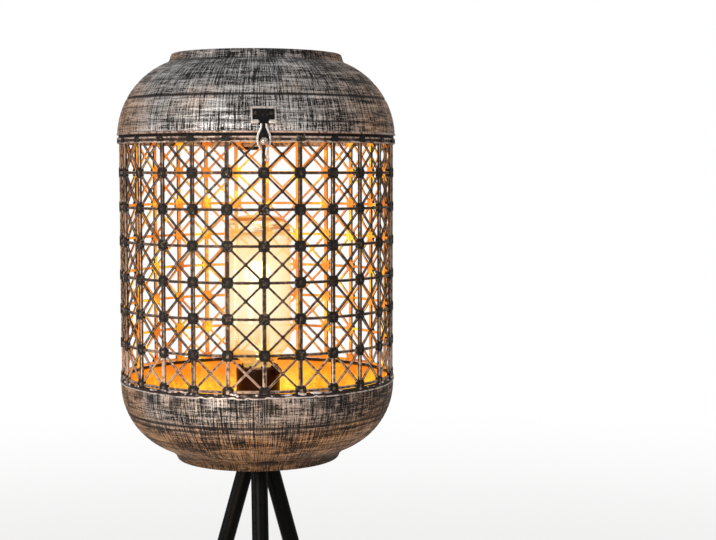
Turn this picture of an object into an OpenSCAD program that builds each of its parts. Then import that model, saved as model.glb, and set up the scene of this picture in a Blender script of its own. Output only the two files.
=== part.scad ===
// Lantern floor lamp: a lidded metal lantern with an open lattice shade, on a splayed tripod.
// Millimetres, +Z up. The floor is z = 0, and the front, where the clasp is, faces -Y.

/* [Shade] */
// Distance from the lamp's axis to the face of the shade's node plates
shade_r = 115; // [105:0.5:125]
// Ribs round the shade, each a post with the arms that reach half way to its neighbours
rib_count = 25; // [19:2:31]
// Cells from the bottom rail to the top rail
cell_rows = 7; // [4:1:9]
// Height of one cell, from rail to rail
cell_h = 28.2; // [24:0.1:32]
// Width of an upright post
post_w = 3.1; // [2:0.1:4]
// Height of a rail
rail_h = 2.2; // [1.4:0.1:3]
// Width of a diagonal brace
brace_w = 1.7; // [1:0.1:2.4]
// Node plate across its flats
plate_w = 8.4; // [7:0.1:10]
// Depth of a node plate
plate_t = 2.8; // [2.2:0.1:4]
// How far the face of a post lies behind the face of a node plate
post_step = 0.4; // [0.1:0.1:0.8]
// How far the face of a rail or brace lies behind the face of a node plate
brace_step = 0.8; // [0.2:0.1:1.2]
// Brazed seam between one rib and the next
rib_seam = 0.06; // [0.04:0.01:0.1]

/* [Bands] */
// Height of the band round the top of the shade
band_h = 7.5; // [6:0.1:9]
// Thickness of that band
band_t = 1; // [0.8:0.1:1.4]
// Width of the square pad that the band has over each post
pad_w = 7.2; // [5:0.1:8]
// Radius of the rolled beads along both edges of the band
bead_r = 0.7; // [0.4:0.1:1]
// Height of the ring that the shade stands on
rim_ring_h = 3; // [2:0.1:4]
// Radial width of that ring
rim_ring_w = 4; // [3:0.1:6]

/* [Bowl] */
// Height of the bowl's rim above the floor
rim_z = 751; // [700:1:800]
// Radius of the curve between the bowl's side and its bottom
bowl_arc = 58; // [50:0.5:61]
// Thickness of the spun sheet
sheet_t = 1.2; // [0.8:0.1:2]
// Straight height below the rim, before the curve begins
bowl_straight = 3; // [1:0.5:10]
// Outer radius of the ring under the bowl, where it meets the bowl
base_ring_r = 74.5; // [68:0.5:76]
// Height of that ring
base_ring_h = 9.2; // [6:0.1:10]
// Radial width of that ring
base_ring_w = 8; // [6:0.5:12]
// Width and depth of the turned grooves in the bowl and the lid
groove_w = 1.6; // [0.8:0.1:2.4]

/* [Lid] */
// How far the lid's lip stands out past the shade's node plates
lip_over = 2; // [1.6:0.1:3]
// Height of the flared lip
lip_h = 2.4; // [1.5:0.1:4]
// Radius of the dome's curve
dome_arc = 67; // [60:0.5:75]
// How far the centre of the dome's curve lies below the lip's underside
dome_drop = 1.9; // [0:0.1:4]
// How far the lip stands out past the dome
lip_flare = 0.9; // [0.3:0.1:2]
// Outer radius of the neck
neck_r = 72.5; // [60:0.5:80]
// Height of the neck above the dome
neck_h = 6.5; // [4:0.5:14]
// Radius of the rolled bead along the neck's top
neck_bead_r = 1.6; // [1:0.1:2.5]
// Gap between the closed lid and the band that it rests on
lid_gap = 0.3; // [0.2:0.05:0.5]

/* [Lid hinge] */
// Width of the hinge along its pin
hinge_w = 26; // [20:1:36]
// Radius of the knuckles
knuckle_r = 2.5; // [2.1:0.1:3]
// Radius of the hinge pin
hinge_pin_r = 1.2; // [1:0.05:1.5]
// Thickness of both leaves
leaf_t = 1.2; // [0.8:0.1:1.6]
// Height of the leaf on the lid
lid_leaf_h = 14; // [11:0.5:18]
// Height of the leaf on the band
band_leaf_h = 6.5; // [5:0.5:8]

/* [Clasp] */
// Width of the clasp's plate
clasp_w = 19.4; // [16:0.1:24]
// Height of the plate above its knuckles
clasp_plate_h = 12; // [9:0.5:15]
// Thickness of the plate and the tongue
clasp_t = 1.2; // [0.9:0.1:1.6]
// Height of the clasp's pin above the lid's lip
clasp_pin_h = 8; // [7:0.5:12]
// Radius of the clasp's pin
clasp_pin_r = 0.8; // [0.6:0.05:1]
// Radius of the clasp's knuckles
clasp_knuckle_r = 1.6; // [1.4:0.1:2]
// Width of the tongue's own knuckle
tongue_knuckle_w = 7; // [5:0.5:9]
// Radius of the opening in the tongue that goes over the ball
eye_r = 3.9; // [3.5:0.1:4.4]
// Width of the tongue's strip round its openings
tongue_rim = 1.7; // [1.2:0.1:2.2]
// Width of the slot below the eye
slot_w = 3; // [2.8:0.1:3.4]
// Length of the tongue from its pin to the foot of the slot
tongue_l = 27; // [23:0.5:30]
// How much shorter the tongue's left prong is than its right one
prong_short = 5.5; // [0:0.5:7]
// Radius of the ball stud's ball
ball_r = 3; // [2.6:0.1:3.2]
// Radius of the ball stud's neck
stud_neck_r = 1.2; // [0.9:0.05:1.25]

/* [Tripod] */
// Radius of the circle that the three feet stand on
foot_r = 218; // [180:1:250]
// Outer radius of a leg
leg_r = 7; // [6:0.25:7]
// Wall of a leg's tube
leg_wall = 1.5; // [1:0.1:2.5]
// Distance from the lamp's axis to a leg's axis, at the leg's top
leg_top_r = 8.6; // [8.6:0.1:11]
// Length of the pointed tip below the tube
tip_l = 23; // [16:1:34]
// Radius of the tip where it meets the floor
tip_end_r = 2.4; // [1.5:0.1:4]
// Depth that a tip's plug goes into the tube
plug_l = 16; // [8:1:30]
// Radius of the hub's flange under the bowl
hub_r = 56; // [48:1:58]
// Thickness of the hub's flange
hub_flange_t = 3; // [2:0.5:5]
// Radius of the hub's boss
hub_boss_r = 24; // [20:0.5:28]
// Height of the hub's boss below its flange
hub_boss_h = 8; // [7.5:0.5:9]
// Radius of the stud on top of a leg
leg_stud_r = 3; // [2:0.25:3]
// Radius of the screws that hold the hub and the socket bracket
screw_r = 2; // [1.5:0.1:2.5]
// Radius of the circle that the hub's screws are on
hub_screw_pcr = 40; // [36:1:46]

/* [Socket] */
// Height of the socket's top above the bowl's rim
socket_rise = 10; // [4:1:24]
// Outer radius of the socket's shell
socket_r = 18.5; // [17.5:0.25:20]
// Wall of the socket's shell
socket_wall = 1.8; // [1.2:0.1:2]
// Height of the shell
socket_shell_h = 46; // [44:1:48]
// Inner radius of the brass screw shell, which takes a 26 mm lamp cap
screw_shell_r = 13.5; // [13.3:0.05:13.8]
// Radius of the threaded nipple
nipple_r = 5; // [4.5:0.1:6]
// Bore radius of the nipple
nipple_bore_r = 3.5; // [2.5:0.1:4]
// Width of the bracket that carries the socket
bracket_w = 22; // [18:1:28]
// Thickness of that bracket
bracket_t = 1.5; // [1:0.1:2.5]
// Distance from the lamp's axis to the bracket's screws
bracket_screw_x = 30; // [28:0.5:33]
// Tilt of the switch key above level
key_tilt = 35; // [20:1:45]
// Turn of the switch key from the lamp's right towards its front
key_turn = 45; // [20:1:70]
// Radius of the switch key's stem
key_stem_r = 1.6; // [1.2:0.1:2]

/* [Bulb] */
// Outer radius of the glass
glass_r = 28; // [24:0.5:32]
// Height of the glass above the socket
glass_h = 128; // [105:1:140]
// Thickness of the glass
glass_t = 0.9; // [0.6:0.1:1.5]
// Outer radius of the lamp cap
cap_r = 13.1; // [12.9:0.05:13.15]
// Number of glowing filament rods
filament_count = 4; // [2:1:6]
// Length of one filament rod
filament_l = 52; // [36:1:60]
// Radius of a filament rod
filament_r = 1; // [0.7:0.1:1.5]

/* [Cord bush] */
// Height of the cord bush's centre below the bowl's rim
bush_drop = 22; // [16:1:26]
// Bore radius of the cord bush
bush_bore_r = 3.5; // [2.5:0.1:4.5]

/* [Hidden] */
$fn = 96;

fit = 0.05;           // radial clearance of a pin that turns in its bore
snug = 0.02;          // radial clearance of a pin that is fixed in its hole
seat = 0.1;           // gap of a piece laid on a curved skin
play = 0.3;           // gap between pieces that move past each other
hair = 0.01;          // overlap that joins the shapes of one piece

// Heights, from the bowl up.
first_row_z = rim_z + rim_ring_h + rail_h / 2 + 0.3;
last_row_z = first_row_z + cell_rows * cell_h;
band_z = last_row_z - 5.1;
band_top_z = band_z + band_h;
shade_z = rim_z + rim_ring_h;
shade_top_z = band_top_z - 0.2;
lid_z = band_top_z + lid_gap;
cell_w = 2 * shade_r * tan(180 / rib_count);

// The bowl is as wide as the shade, and its curve ends at the ring under it.
bowl_r = shade_r;
bowl_arc_r = bowl_r - bowl_arc;
bowl_arc_z = rim_z - bowl_straight;
bowl_z = bowl_arc_z - sqrt(pow(bowl_arc, 2) - pow(base_ring_r + 1.5 - bowl_arc_r, 2));
floor_z = bowl_z + sheet_t;

// The dome's curve, which ends at the neck.
lip_r = shade_r + lip_over;
dome_r = lip_r - lip_flare;
dome_arc_r = dome_r - dome_arc;
dome_z = lid_z - dome_drop;
dome_top_z = dome_z + sqrt(pow(dome_arc, 2) - pow(neck_r - dome_arc_r, 2));
groove_d = groove_w / 3;

// The band round the top of the shade.
band_r = shade_r + 0.2;
band_out_r = band_r + band_t;
band_reach = band_out_r + 0.25;

// The lid's hinge. Its axis lies outside the lip and just below the lid.
hinge_y = lip_r + knuckle_r + 0.7;
hinge_z = band_top_z - 2.2;
hinge_gap = play;
hinge_mid_w = hinge_w / 2.6;
hinge_reach = hinge_y + knuckle_r;

// The clasp. Its pin is in front of the dome, and its tongue hangs in front of the lip.
clasp_y = lip_r + 0.4 + clasp_t / 2;
clasp_field = seat + clasp_t - 0.5;
clasp_z = lid_z + clasp_pin_h;
stud_z = band_z + 0.9;
eye_drop = clasp_z - stud_z + 0.3;
swing_out = 0.95;     // how far the tongue's foot moves out while it clears the stud
ball_back = sqrt(pow(ball_r, 2) - pow(slot_w / 2, 2));
ball_y = clasp_y + clasp_t / 2 + swing_out + play + ball_back;

// The tripod. A leg's axis runs from the floor to the hub's boss.
hub_z = bowl_z - hub_flange_t;
leg_top_z = hub_z - hub_boss_h + 2;
leg_axis_l = norm([foot_r - leg_top_r, leg_top_z]);
leg_tilt = atan((foot_r - leg_top_r) / leg_top_z);
leg_stud_l = 7;
leg_bore_r = leg_r - leg_wall;
leg_angles = [0, 120, 240];
foot_reach = foot_r + tip_end_r / cos(leg_tilt);

// The socket, down from its top, and the bulb in it.
socket_z = rim_z + socket_rise;
shell_z = socket_z - socket_shell_h;
cap_h = 12;
cap_z = shell_z - cap_h;
bracket_top_z = cap_z - seat;
shell_lip_r = 14.6;
core_r = socket_r - socket_wall - 0.2;
core_z = shell_z + 3;
core_floor_z = core_z + 9;
thread_t = 0.5;
shell_floor_z = core_floor_z + seat;
contact_z = shell_floor_z + thread_t;
bulb_z = contact_z + 2;
bulb_cap_z = bulb_z + 3.4;
bulb_cap_top_z = socket_z - 1.5;
glass_z = socket_z + glass_h;
glass_neck_r = cap_r - 0.6;

// The lamp's axis stands behind the origin, which is under the middle of the whole lamp.
axis_y = (foot_reach - hinge_reach) / 2;

module on_axis() {
    translate([0, axis_y, 0]) children();
}

// ---- Shapes that several pieces share ----

// A flat bar from one point to another.
module bar(from, to, width) {
    run = to - from;
    translate(from) rotate(atan2(run[1], run[0])) translate([0, -width / 2]) square([norm(run), width]);
}

// Extrudes a drawing of width and height into a plate that faces -Y between two distances.
module front_plate(back, face) {
    translate([0, -back, 0]) rotate([90, 0, 0]) linear_extrude(face - back) children();
}

// A cylinder along X about the origin.
module across(length, radius) {
    rotate([0, 90, 0]) cylinder(h = length, r = radius, center = true);
}

// A round-headed rivet along +Y, with its head's flat side at the origin and its shank behind.
module rivet(head_r, head_h, shank_r, shank_l) {
    rotate([-90, 0, 0]) {
        intersection() {
            translate([0, 0, head_h - 1.3 * head_r]) sphere(r = 1.3 * head_r);
            cylinder(h = head_h, r = head_r);
        }
        translate([0, 0, -shank_l]) cylinder(h = shank_l + hair, r = shank_r);
    }
}

// A pan-headed screw that points down, with the underside of its head at the origin.
module pan_screw(length) {
    difference() {
        union() {
            cylinder(h = 1.2, r = 2 * screw_r);
            translate([0, 0, 1.2]) cylinder(h = 1.2, r1 = 2 * screw_r, r2 = 1.2 * screw_r);
        }
        translate([0, 0, 2]) cube([3 * screw_r, 0.7, 2], center = true);
        translate([0, 0, 2]) cube([0.7, 3 * screw_r, 2], center = true);
    }
    translate([0, 0, -length]) cylinder(h = length + hair, r = screw_r);
}

module hex_nut(flats, height, bore) {
    difference() {
        cylinder(h = height, r = flats / 2 / cos(30), $fn = 6);
        translate([0, 0, -1]) cylinder(h = height + 2, r = bore);
    }
}

// ---- Tripod ----

// Puts a shape that stands on z = 0 along a leg's axis, with its origin where the axis meets the floor.
module along_leg(turn) {
    on_axis() rotate([0, 0, turn]) translate([0, -foot_r, 0]) rotate([-leg_tilt, 0, 0]) children();
}

module leg(turn) {
    color("#17171a") along_leg(turn) difference() {
        translate([0, 0, tip_l]) cylinder(h = leg_axis_l - tip_l, r = leg_r);
        translate([0, 0, tip_l - 1]) cylinder(h = leg_axis_l, r = leg_bore_r);
    }
}

module leg_front() {
    leg(leg_angles[0]);
}

module leg_right() {
    leg(leg_angles[1]);
}

module leg_left() {
    leg(leg_angles[2]);
}

// The pointed tips, cut flat where they stand on the floor.
module leg_tips() {
    color("#101012") difference() {
        for (turn = leg_angles) along_leg(turn) {
            translate([0, 0, -2]) cylinder(h = 2 + hair, r = tip_end_r);
            cylinder(h = tip_l - 3, r1 = tip_end_r, r2 = leg_r - 0.4);
            translate([0, 0, tip_l - 3 - hair]) cylinder(h = 3 + hair - seat, r = leg_r - 0.4);
            translate([0, 0, tip_l - 1]) cylinder(h = plug_l, r = leg_bore_r - snug);
        }
        translate([0, 0, -10]) cube([4 * foot_r, 4 * foot_r, 20], center = true);
    }
}

// Each leg's top plug, with the stud that screws into the hub.
module leg_studs() {
    color("#8d8f92") for (turn = leg_angles) along_leg(turn) {
        translate([0, 0, leg_axis_l - plug_l]) cylinder(h = plug_l, r = leg_bore_r - snug);
        translate([0, 0, leg_axis_l - 1]) cylinder(h = leg_stud_l + 1, r = leg_stud_r);
    }
}

module tripod_hub() {
    color("#1b1b1d") difference() {
        on_axis() translate([0, 0, hub_z]) {
            cylinder(h = hub_flange_t, r = hub_r);
            translate([0, 0, -hub_boss_h]) cylinder(h = hub_boss_h + hair, r = hub_boss_r);
        }
        for (turn = leg_angles) along_leg(turn) {
            translate([0, 0, leg_axis_l - 20]) cylinder(h = 20 + seat, r = leg_r + 1.2);
            translate([0, 0, leg_axis_l]) cylinder(h = leg_stud_l + 0.4, r = leg_stud_r + snug);
        }
        at_hub_screws(hub_z - 1) cylinder(h = hub_flange_t + 2, r = screw_r + snug);
        at_bracket_screws(hub_z - 1) cylinder(h = hub_flange_t + 2, r = screw_r + snug);
    }
}

module at_hub_screws(z) {
    for (turn = leg_angles) on_axis() rotate([0, 0, turn]) translate([0, hub_screw_pcr, z]) children();
}

module at_bracket_screws(z) {
    for (side = [-1, 1]) on_axis() translate([side * bracket_screw_x, 0, z]) children();
}

module hub_screws() {
    color("#a9a9a6") at_hub_screws(floor_z) pan_screw(sheet_t + hub_flange_t + 4);
}

module hub_nuts() {
    color("#a9a9a6") at_hub_screws(hub_z - 3.2) hex_nut(3.5 * screw_r, 3.2, screw_r + snug);
}

// ---- Bowl ----

// Half of the bowl's solid outline, drawn in by an inset.
module bowl_outline(inset) {
    bottom = bowl_z + inset;
    intersection() {
        union() {
            translate([bowl_arc_r, bowl_arc_z]) circle(r = bowl_arc - inset);
            translate([0, bottom]) square([bowl_arc_r, rim_z - bottom]);
            translate([0, bowl_arc_z]) square([bowl_r - inset, bowl_straight + 2 * inset]);
        }
        translate([0, bottom]) square([bowl_r + 1, rim_z - bottom + inset]);
    }
}

// A point on a curve, from its centre, its radius and the height above the centre.
function on_curve(centre_r, centre_z, radius, rise) =
    [centre_r + sqrt(pow(radius, 2) - pow(rise, 2)), centre_z + rise];

module turned_groove(centre_r, centre_z, radius, rise) {
    at = on_curve(centre_r, centre_z, radius + groove_w / 2 - groove_d, rise);
    translate(at) circle(r = groove_w / 2);
}

module bowl() {
    color("#8d7f70") difference() {
        on_axis() rotate_extrude() difference() {
            bowl_outline(0);
            bowl_outline(sheet_t);
            for (rise = [-22, -40]) turned_groove(bowl_arc_r, bowl_arc_z, bowl_arc, rise);
        }
        at_hub_screws(bowl_z - 1) cylinder(h = sheet_t + 2, r = screw_r + 0.2);
        at_bracket_screws(bowl_z - 1) cylinder(h = sheet_t + 2, r = screw_r + 0.2);
        at_bush() translate([0, 0, -20]) cylinder(h = 30, r = bush_body_r + snug);
    }
}

module base_ring() {
    color("#5a4a3c") on_axis() rotate_extrude() difference() {
        polygon([
            [base_ring_r - base_ring_w, bowl_z],
            [base_ring_r - base_ring_w, bowl_z - base_ring_h],
            [base_ring_r - base_ring_w + 1.6, bowl_z - base_ring_h],
            [base_ring_r - 1.5, bowl_z - 1.2],
            [base_ring_r, bowl_z - 1.2],
            [base_ring_r, bowl_z]
        ]);
        translate([base_ring_r - base_ring_w - 1, bowl_z - base_ring_h - 1])
            square([1.6, base_ring_h - 0.6]);
    }
}

// The cord's bush goes through the bowl's back.
bush_z = rim_z - bush_drop;
bush_wall_r = on_curve(bowl_arc_r, bowl_arc_z, bowl_arc, bush_z - bowl_arc_z)[0];
bush_body_r = bush_bore_r + 1.6;

// Puts a shape that points along +Z out through the bowl's back.
module at_bush() {
    on_axis() translate([0, bush_wall_r, bush_z]) rotate([-90, 0, 0]) children();
}

module cord_bush() {
    color("#202022") at_bush() difference() {
        union() {
            translate([0, 0, -8]) cylinder(h = 12, r = bush_body_r);
            translate([0, 0, 2.2]) cylinder(h = 1.6, r = bush_body_r + 1.5);
            translate([0, 0, -8]) cylinder(h = 1.8, r = bush_body_r + 1.2);
        }
        translate([0, 0, -9]) cylinder(h = 14, r = bush_bore_r);
    }
}

module rim_ring() {
    color("#8a7a6a") on_axis() rotate_extrude() intersection() {
        translate([bowl_r + 0.6 - rim_ring_w, rim_z]) square([rim_ring_w, rim_ring_h]);
        translate([bowl_r - 3.2, rim_z + rim_ring_h / 2]) circle(r = 4.1);
    }
}

// ---- Shade ----

// The rails and braces of one rib, drawn flat: half a cell to each side of the post.
module rib_arms() {
    for (row = [0:cell_rows]) translate([0, first_row_z + row * cell_h]) {
        square([cell_w + 2, rail_h], center = true);
        for (side = [-1, 1], way = [-1, 1]) if (row + way >= 0 && row + way <= cell_rows)
            bar([0, 0], [side * (cell_w / 2 + 1), way * (cell_h / 2) * (1 + 2 / cell_w)], brace_w);
    }
}

module rib_plates() {
    for (row = [0:cell_rows]) translate([0, first_row_z + row * cell_h])
        rotate(22.5) circle(r = plate_w / 2 / cos(22.5), $fn = 8);
}

// Keeps a drawing between the ring below and the top of the shade.
module shade_clip() {
    intersection() {
        children();
        translate([-cell_w, shade_z]) square([2 * cell_w, shade_top_z - shade_z]);
    }
}

module rib() {
    back = shade_r - plate_t;
    half = 180 / rib_count;
    apex = rib_seam / 2 / sin(half);
    intersection() {
        union() {
            front_plate(back + 0.3, shade_r - brace_step) shade_clip() rib_arms();
            front_plate(back + 0.1, shade_r - post_step)
                translate([-post_w / 2, shade_z]) square([post_w, shade_top_z - shade_z]);
            front_plate(back, shade_r) shade_clip() rib_plates();
        }
        linear_extrude(2 * rim_z) polygon([
            [0, -apex],
            [-2 * shade_r * tan(half), -apex - 2 * shade_r],
            [2 * shade_r * tan(half), -apex - 2 * shade_r]
        ]);
    }
}

module shade_lattice() {
    color("#4a3f36") on_axis() for (i = [0:rib_count - 1]) rotate([0, 0, i * 360 / rib_count]) rib();
}

// The band has a bead along each edge and a flat between them.
module top_band() {
    color("#5b5048") difference() {
        on_axis() rotate_extrude() {
            translate([band_r, band_z]) square([band_t, band_h]);
            for (z = [band_z + bead_r, band_top_z - bead_r])
                translate([band_reach - bead_r, z]) circle(r = bead_r);
        }
        // One square pad over each post, between the beads.
        on_axis() for (i = [0:rib_count - 1]) rotate([0, 0, i * 360 / rib_count])
            front_plate(band_out_r - 0.5, band_reach - 0.22)
                translate([-pad_w / 2, band_z + bead_r / 2]) square([pad_w, band_h - bead_r]);
        at_stud() translate([0, 0, -5]) cylinder(h = 10, r = stud_neck_r + snug);
        at_band_rivets() rotate([90, 0, 0]) cylinder(h = 10, r = 1 + snug, center = true);
    }
}

// ---- Lid ----

module dome_outline(inset) {
    intersection() {
        translate([dome_arc_r, dome_z]) circle(r = dome_arc - inset);
        translate([0, lid_z]) square([lip_r, dome_top_z - lid_z]);
    }
}

module lid_dome() {
    color("#8b8078") difference() {
        on_axis() rotate_extrude() {
            difference() {
                dome_outline(0);
                translate([0, -1]) dome_outline(sheet_t);
                dome_outline(sheet_t);
                square([neck_r - 4, 2 * rim_z]);
                for (rise = [30, 43]) turned_groove(dome_arc_r, dome_z, dome_arc, rise + dome_drop);
            }
            translate([lip_r - lip_h / 2, lid_z]) intersection() {
                translate([-sheet_t / 2, 0]) square([lip_h / 2 + sheet_t / 2, lip_h]);
                translate([-0.6, lip_h / 2]) circle(r = lip_h / 2 + 0.6);
            }
        }
        at_lid_rivets() rotate([90, 0, 0]) cylinder(h = 12, r = 1 + snug, center = true);
        at_clasp_rivets() rotate([90, 0, 0]) cylinder(h = 12, r = 0.9 + snug, center = true);
    }
}

// The neck is a short collar with a rolled top, soldered round the dome's opening.
module lid_neck() {
    neck_t = 1.4;
    top = dome_top_z + neck_h;
    color("#4d443d") on_axis() rotate_extrude() {
        polygon([
            [neck_r - 4, dome_top_z + hair],
            [neck_r + 1.2, dome_top_z + hair],
            [neck_r, dome_top_z + 1.4],
            [neck_r - 0.6, top - neck_bead_r],
            [neck_r - 0.6 - neck_t, top - neck_bead_r],
            [neck_r - neck_t, dome_top_z + 1.4],
            [neck_r - 4, dome_top_z + 1.4]
        ]);
        translate([neck_r - 0.9 - neck_bead_r / 2, top - neck_bead_r]) circle(r = neck_bead_r);
    }
}

// ---- Lid hinge ----

// A curved leaf over the dome, between two heights above the lip and two distances off the skin.
module skin_leaf(low, high, inner, outer, width) {
    half = asin(width / 2 / (dome_r + outer));
    rotate([0, 0, 90 - half]) rotate_extrude(angle = 2 * half) intersection() {
        difference() {
            translate([dome_arc_r, dome_z]) circle(r = dome_arc + outer);
            translate([dome_arc_r, dome_z]) circle(r = dome_arc + inner);
        }
        translate([dome_arc_r, lid_z + low]) square([2 * dome_arc, high - low]);
    }
}

// Puts a shape that points along +Y out from the dome's back, square to its skin.
module on_dome(x, rise, off) {
    slope = asin((rise + dome_drop) / (dome_arc + off));
    reach = dome_arc_r + (dome_arc + off) * cos(slope);
    rotate([0, 0, -asin(x / reach)]) translate([0, reach, lid_z + rise]) rotate([slope, 0, 0]) children();
}

module lid_leaf() {
    color("#3c352f") on_axis() difference() {
        union() {
            skin_leaf(lip_h + seat, lid_leaf_h, seat, seat + leaf_t, hinge_w);
            translate([0, hinge_y, hinge_z]) across(hinge_mid_w, knuckle_r);
            translate([-hinge_mid_w / 2, lip_r + 0.3, hinge_z + 1])
                cube([hinge_mid_w, leaf_t + 1.2, lid_z + lip_h - hinge_z + 1]);
            translate([-hinge_mid_w / 2, dome_r + seat + 0.3, lid_z + lip_h + seat])
                cube([hinge_mid_w, lip_r - dome_r + 1, 2 - seat]);
        }
        translate([0, hinge_y, hinge_z]) across(hinge_w, hinge_pin_r + fit);
        translate([0, -axis_y, 0]) at_lid_rivets()
            rotate([90, 0, 0]) cylinder(h = 12, r = 1 + snug, center = true);
    }
}

module at_lid_rivets() {
    on_axis() for (side = [-1, 1]) on_dome(side * hinge_w * 0.3, lid_leaf_h - 4, seat + leaf_t) children();
}

module lid_leaf_rivets() {
    color("#9a938c") at_lid_rivets() rivet(2, 1, 1, leaf_t + sheet_t + 1);
}

module band_leaf() {
    side_w = (hinge_w - hinge_mid_w) / 2 - hinge_gap;
    half = asin(hinge_w / 2 / band_out_r);
    inner = band_reach + seat;
    color("#3c352f") on_axis() difference() {
        union() {
            rotate([0, 0, 90 - half]) rotate_extrude(angle = 2 * half)
                translate([inner, hinge_z - band_leaf_h - 1.5]) square([leaf_t, band_leaf_h]);
            for (side = [-1, 1]) translate([side * (hinge_w - side_w) / 2, 0, 0]) {
                translate([0, hinge_y, hinge_z]) across(side_w, knuckle_r);
                translate([-side_w / 2, inner + 0.2, hinge_z - 3])
                    cube([side_w, hinge_y - inner, 2.4]);
            }
        }
        translate([0, hinge_y, hinge_z]) across(hinge_w + 2, hinge_pin_r + snug);
        translate([0, -axis_y, 0]) at_band_rivets()
            rotate([90, 0, 0]) cylinder(h = 12, r = 1 + snug, center = true);
    }
}

module at_band_rivets() {
    on_axis() for (side = [-1, 1])
        translate([side * hinge_w * 0.3, band_reach + seat + leaf_t, hinge_z - band_leaf_h + 1.6]) children();
}

module band_leaf_rivets() {
    color("#9a938c") at_band_rivets() translate([0, 0.1, 0]) rivet(1.8, 0.9, 1, 3.4);
}

module hinge_pin() {
    color("#8d8680") on_axis() translate([0, hinge_y, hinge_z]) {
        across(hinge_w + 1, hinge_pin_r);
        for (side = [-1, 1]) translate([side * (hinge_w / 2 + 0.6), 0, 0]) across(1.1, hinge_pin_r + 0.7);
    }
}

// ---- Clasp ----

module clasp_plate() {
    side_w = (clasp_w - tongue_knuckle_w) / 2 - play;
    plate_low = clasp_pin_h - clasp_knuckle_r;
    plate_high = clasp_pin_h + clasp_plate_h;
    plate_rim = 1.3;
    color("#2b2724") on_axis() rotate([0, 0, 180]) difference() {
        union() {
            difference() {
                skin_leaf(plate_low, plate_high, seat, seat + clasp_t, clasp_w);
                skin_leaf(plate_low + 3, plate_high - plate_rim, clasp_field, seat + 2 * clasp_t,
                    clasp_w - 2 * plate_rim);
            }
            for (side = [-1, 1]) translate([side * (clasp_w - side_w) / 2, 0, 0]) {
                translate([0, clasp_y, clasp_z]) across(side_w, clasp_knuckle_r);
                translate([-side_w / 2, dome_r + 0.4, clasp_z])
                    cube([side_w, clasp_y - dome_r - 0.4, clasp_knuckle_r]);
            }
        }
        translate([0, clasp_y, clasp_z]) across(clasp_w + 2, clasp_pin_r + snug);
        translate([-tongue_knuckle_w / 2 - play, lip_r - 5, clasp_z - 5])
            cube([tongue_knuckle_w + 2 * play, 10, 5 + clasp_knuckle_r + play]);
        translate([0, axis_y, 0]) rotate([0, 0, 180]) at_clasp_rivets()
            rotate([90, 0, 0]) cylinder(h = 12, r = 0.9 + snug, center = true);
    }
}

// The clasp's rivets stand in the sunk field of its plate.
module at_clasp_rivets() {
    on_axis() rotate([0, 0, 180]) for (side = [-1, 1])
        on_dome(side * clasp_w * 0.32, clasp_pin_h + clasp_plate_h / 2 + 0.6, clasp_field) children();
}

module clasp_rivets() {
    color("#9a938c") at_clasp_rivets() rivet(1.6, 0.8, 0.9, clasp_field + sheet_t + 1);
}

module clasp_pin() {
    color("#8d8680") on_axis() translate([0, -clasp_y, clasp_z]) {
        across(clasp_w + 0.6, clasp_pin_r);
        for (side = [-1, 1]) translate([side * (clasp_w / 2 + 0.4), 0, 0]) across(0.7, clasp_pin_r + 0.4);
    }
}

// The tongue, drawn flat with its pin at the origin: a pear-shaped spring fork with a curled pull.
module tongue_outline() {
    foot = slot_w / 2 + tongue_rim;
    curl_r = 2.6;
    difference() {
        union() {
            polygon([
                [-foot + 0.3, 0], [foot - 0.3, 0],
                [eye_r + tongue_rim - 0.4, -eye_drop + 2.4],
                [-eye_r - tongue_rim + 0.4, -eye_drop + 2.4]
            ]);
            translate([0, -eye_drop]) circle(r = eye_r + tongue_rim);
            translate([-foot, -tongue_l + prong_short]) square([foot, tongue_l - eye_drop - prong_short]);
            translate([0, -tongue_l]) square([foot, tongue_l - eye_drop]);
            translate([foot - tongue_rim + curl_r, -tongue_l]) difference() {
                circle(r = curl_r);
                circle(r = curl_r - tongue_rim + 0.3);
                translate([-3 * curl_r, 0]) square([6 * curl_r, 3 * curl_r]);
            }
        }
        translate([0, -eye_drop]) circle(r = eye_r);
        polygon([
            [-1.1, -3.4], [1.1, -3.4],
            [eye_r - 0.7, -eye_drop + 1.8], [-eye_r + 0.7, -eye_drop + 1.8]
        ]);
        translate([-slot_w / 2, -2 * tongue_l]) square([slot_w, 2 * tongue_l - eye_drop]);
    }
}

module clasp_tongue() {
    color("#b5aea6") on_axis() translate([0, -clasp_y, clasp_z]) difference() {
        union() {
            front_plate(-clasp_t / 2, clasp_t / 2) tongue_outline();
            across(tongue_knuckle_w, clasp_knuckle_r);
        }
        across(clasp_w, clasp_pin_r + fit);
    }
}

// Puts a shape that points along +Z out from the band's front.
module at_stud() {
    on_axis() translate([0, -band_out_r, stud_z]) rotate([90, 0, 0]) children();
}

module clasp_stud() {
    reach = ball_y - band_out_r;
    color("#c2bcb4") at_stud() {
        translate([0, 0, reach]) sphere(r = ball_r);
        translate([0, 0, -band_t]) cylinder(h = reach + band_t, r = stud_neck_r);
    }
}

// ---- Socket ----

module socket_bracket() {
    rise = bracket_top_z - floor_z;
    foot_x = bracket_screw_x + 6;
    knee_x = bracket_screw_x - 6;
    color("#b9b4a8") difference() {
        on_axis() translate([0, bracket_w / 2, floor_z]) rotate([90, 0, 0]) linear_extrude(bracket_w) polygon([
            [-foot_x, 0], [-knee_x, 0], [-knee_x + 2, rise - bracket_t],
            [knee_x - 2, rise - bracket_t], [knee_x, 0], [foot_x, 0],
            [foot_x, bracket_t], [knee_x + bracket_t, bracket_t],
            [knee_x - 2 + bracket_t, rise], [-knee_x + 2 - bracket_t, rise],
            [-knee_x - bracket_t, bracket_t], [-foot_x, bracket_t]
        ]);
        at_bracket_screws(floor_z - 1) cylinder(h = bracket_t + 2, r = screw_r + 0.2);
        on_axis() translate([0, 0, floor_z]) cylinder(h = rise + 1, r = nipple_r + 0.2);
    }
}

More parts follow.
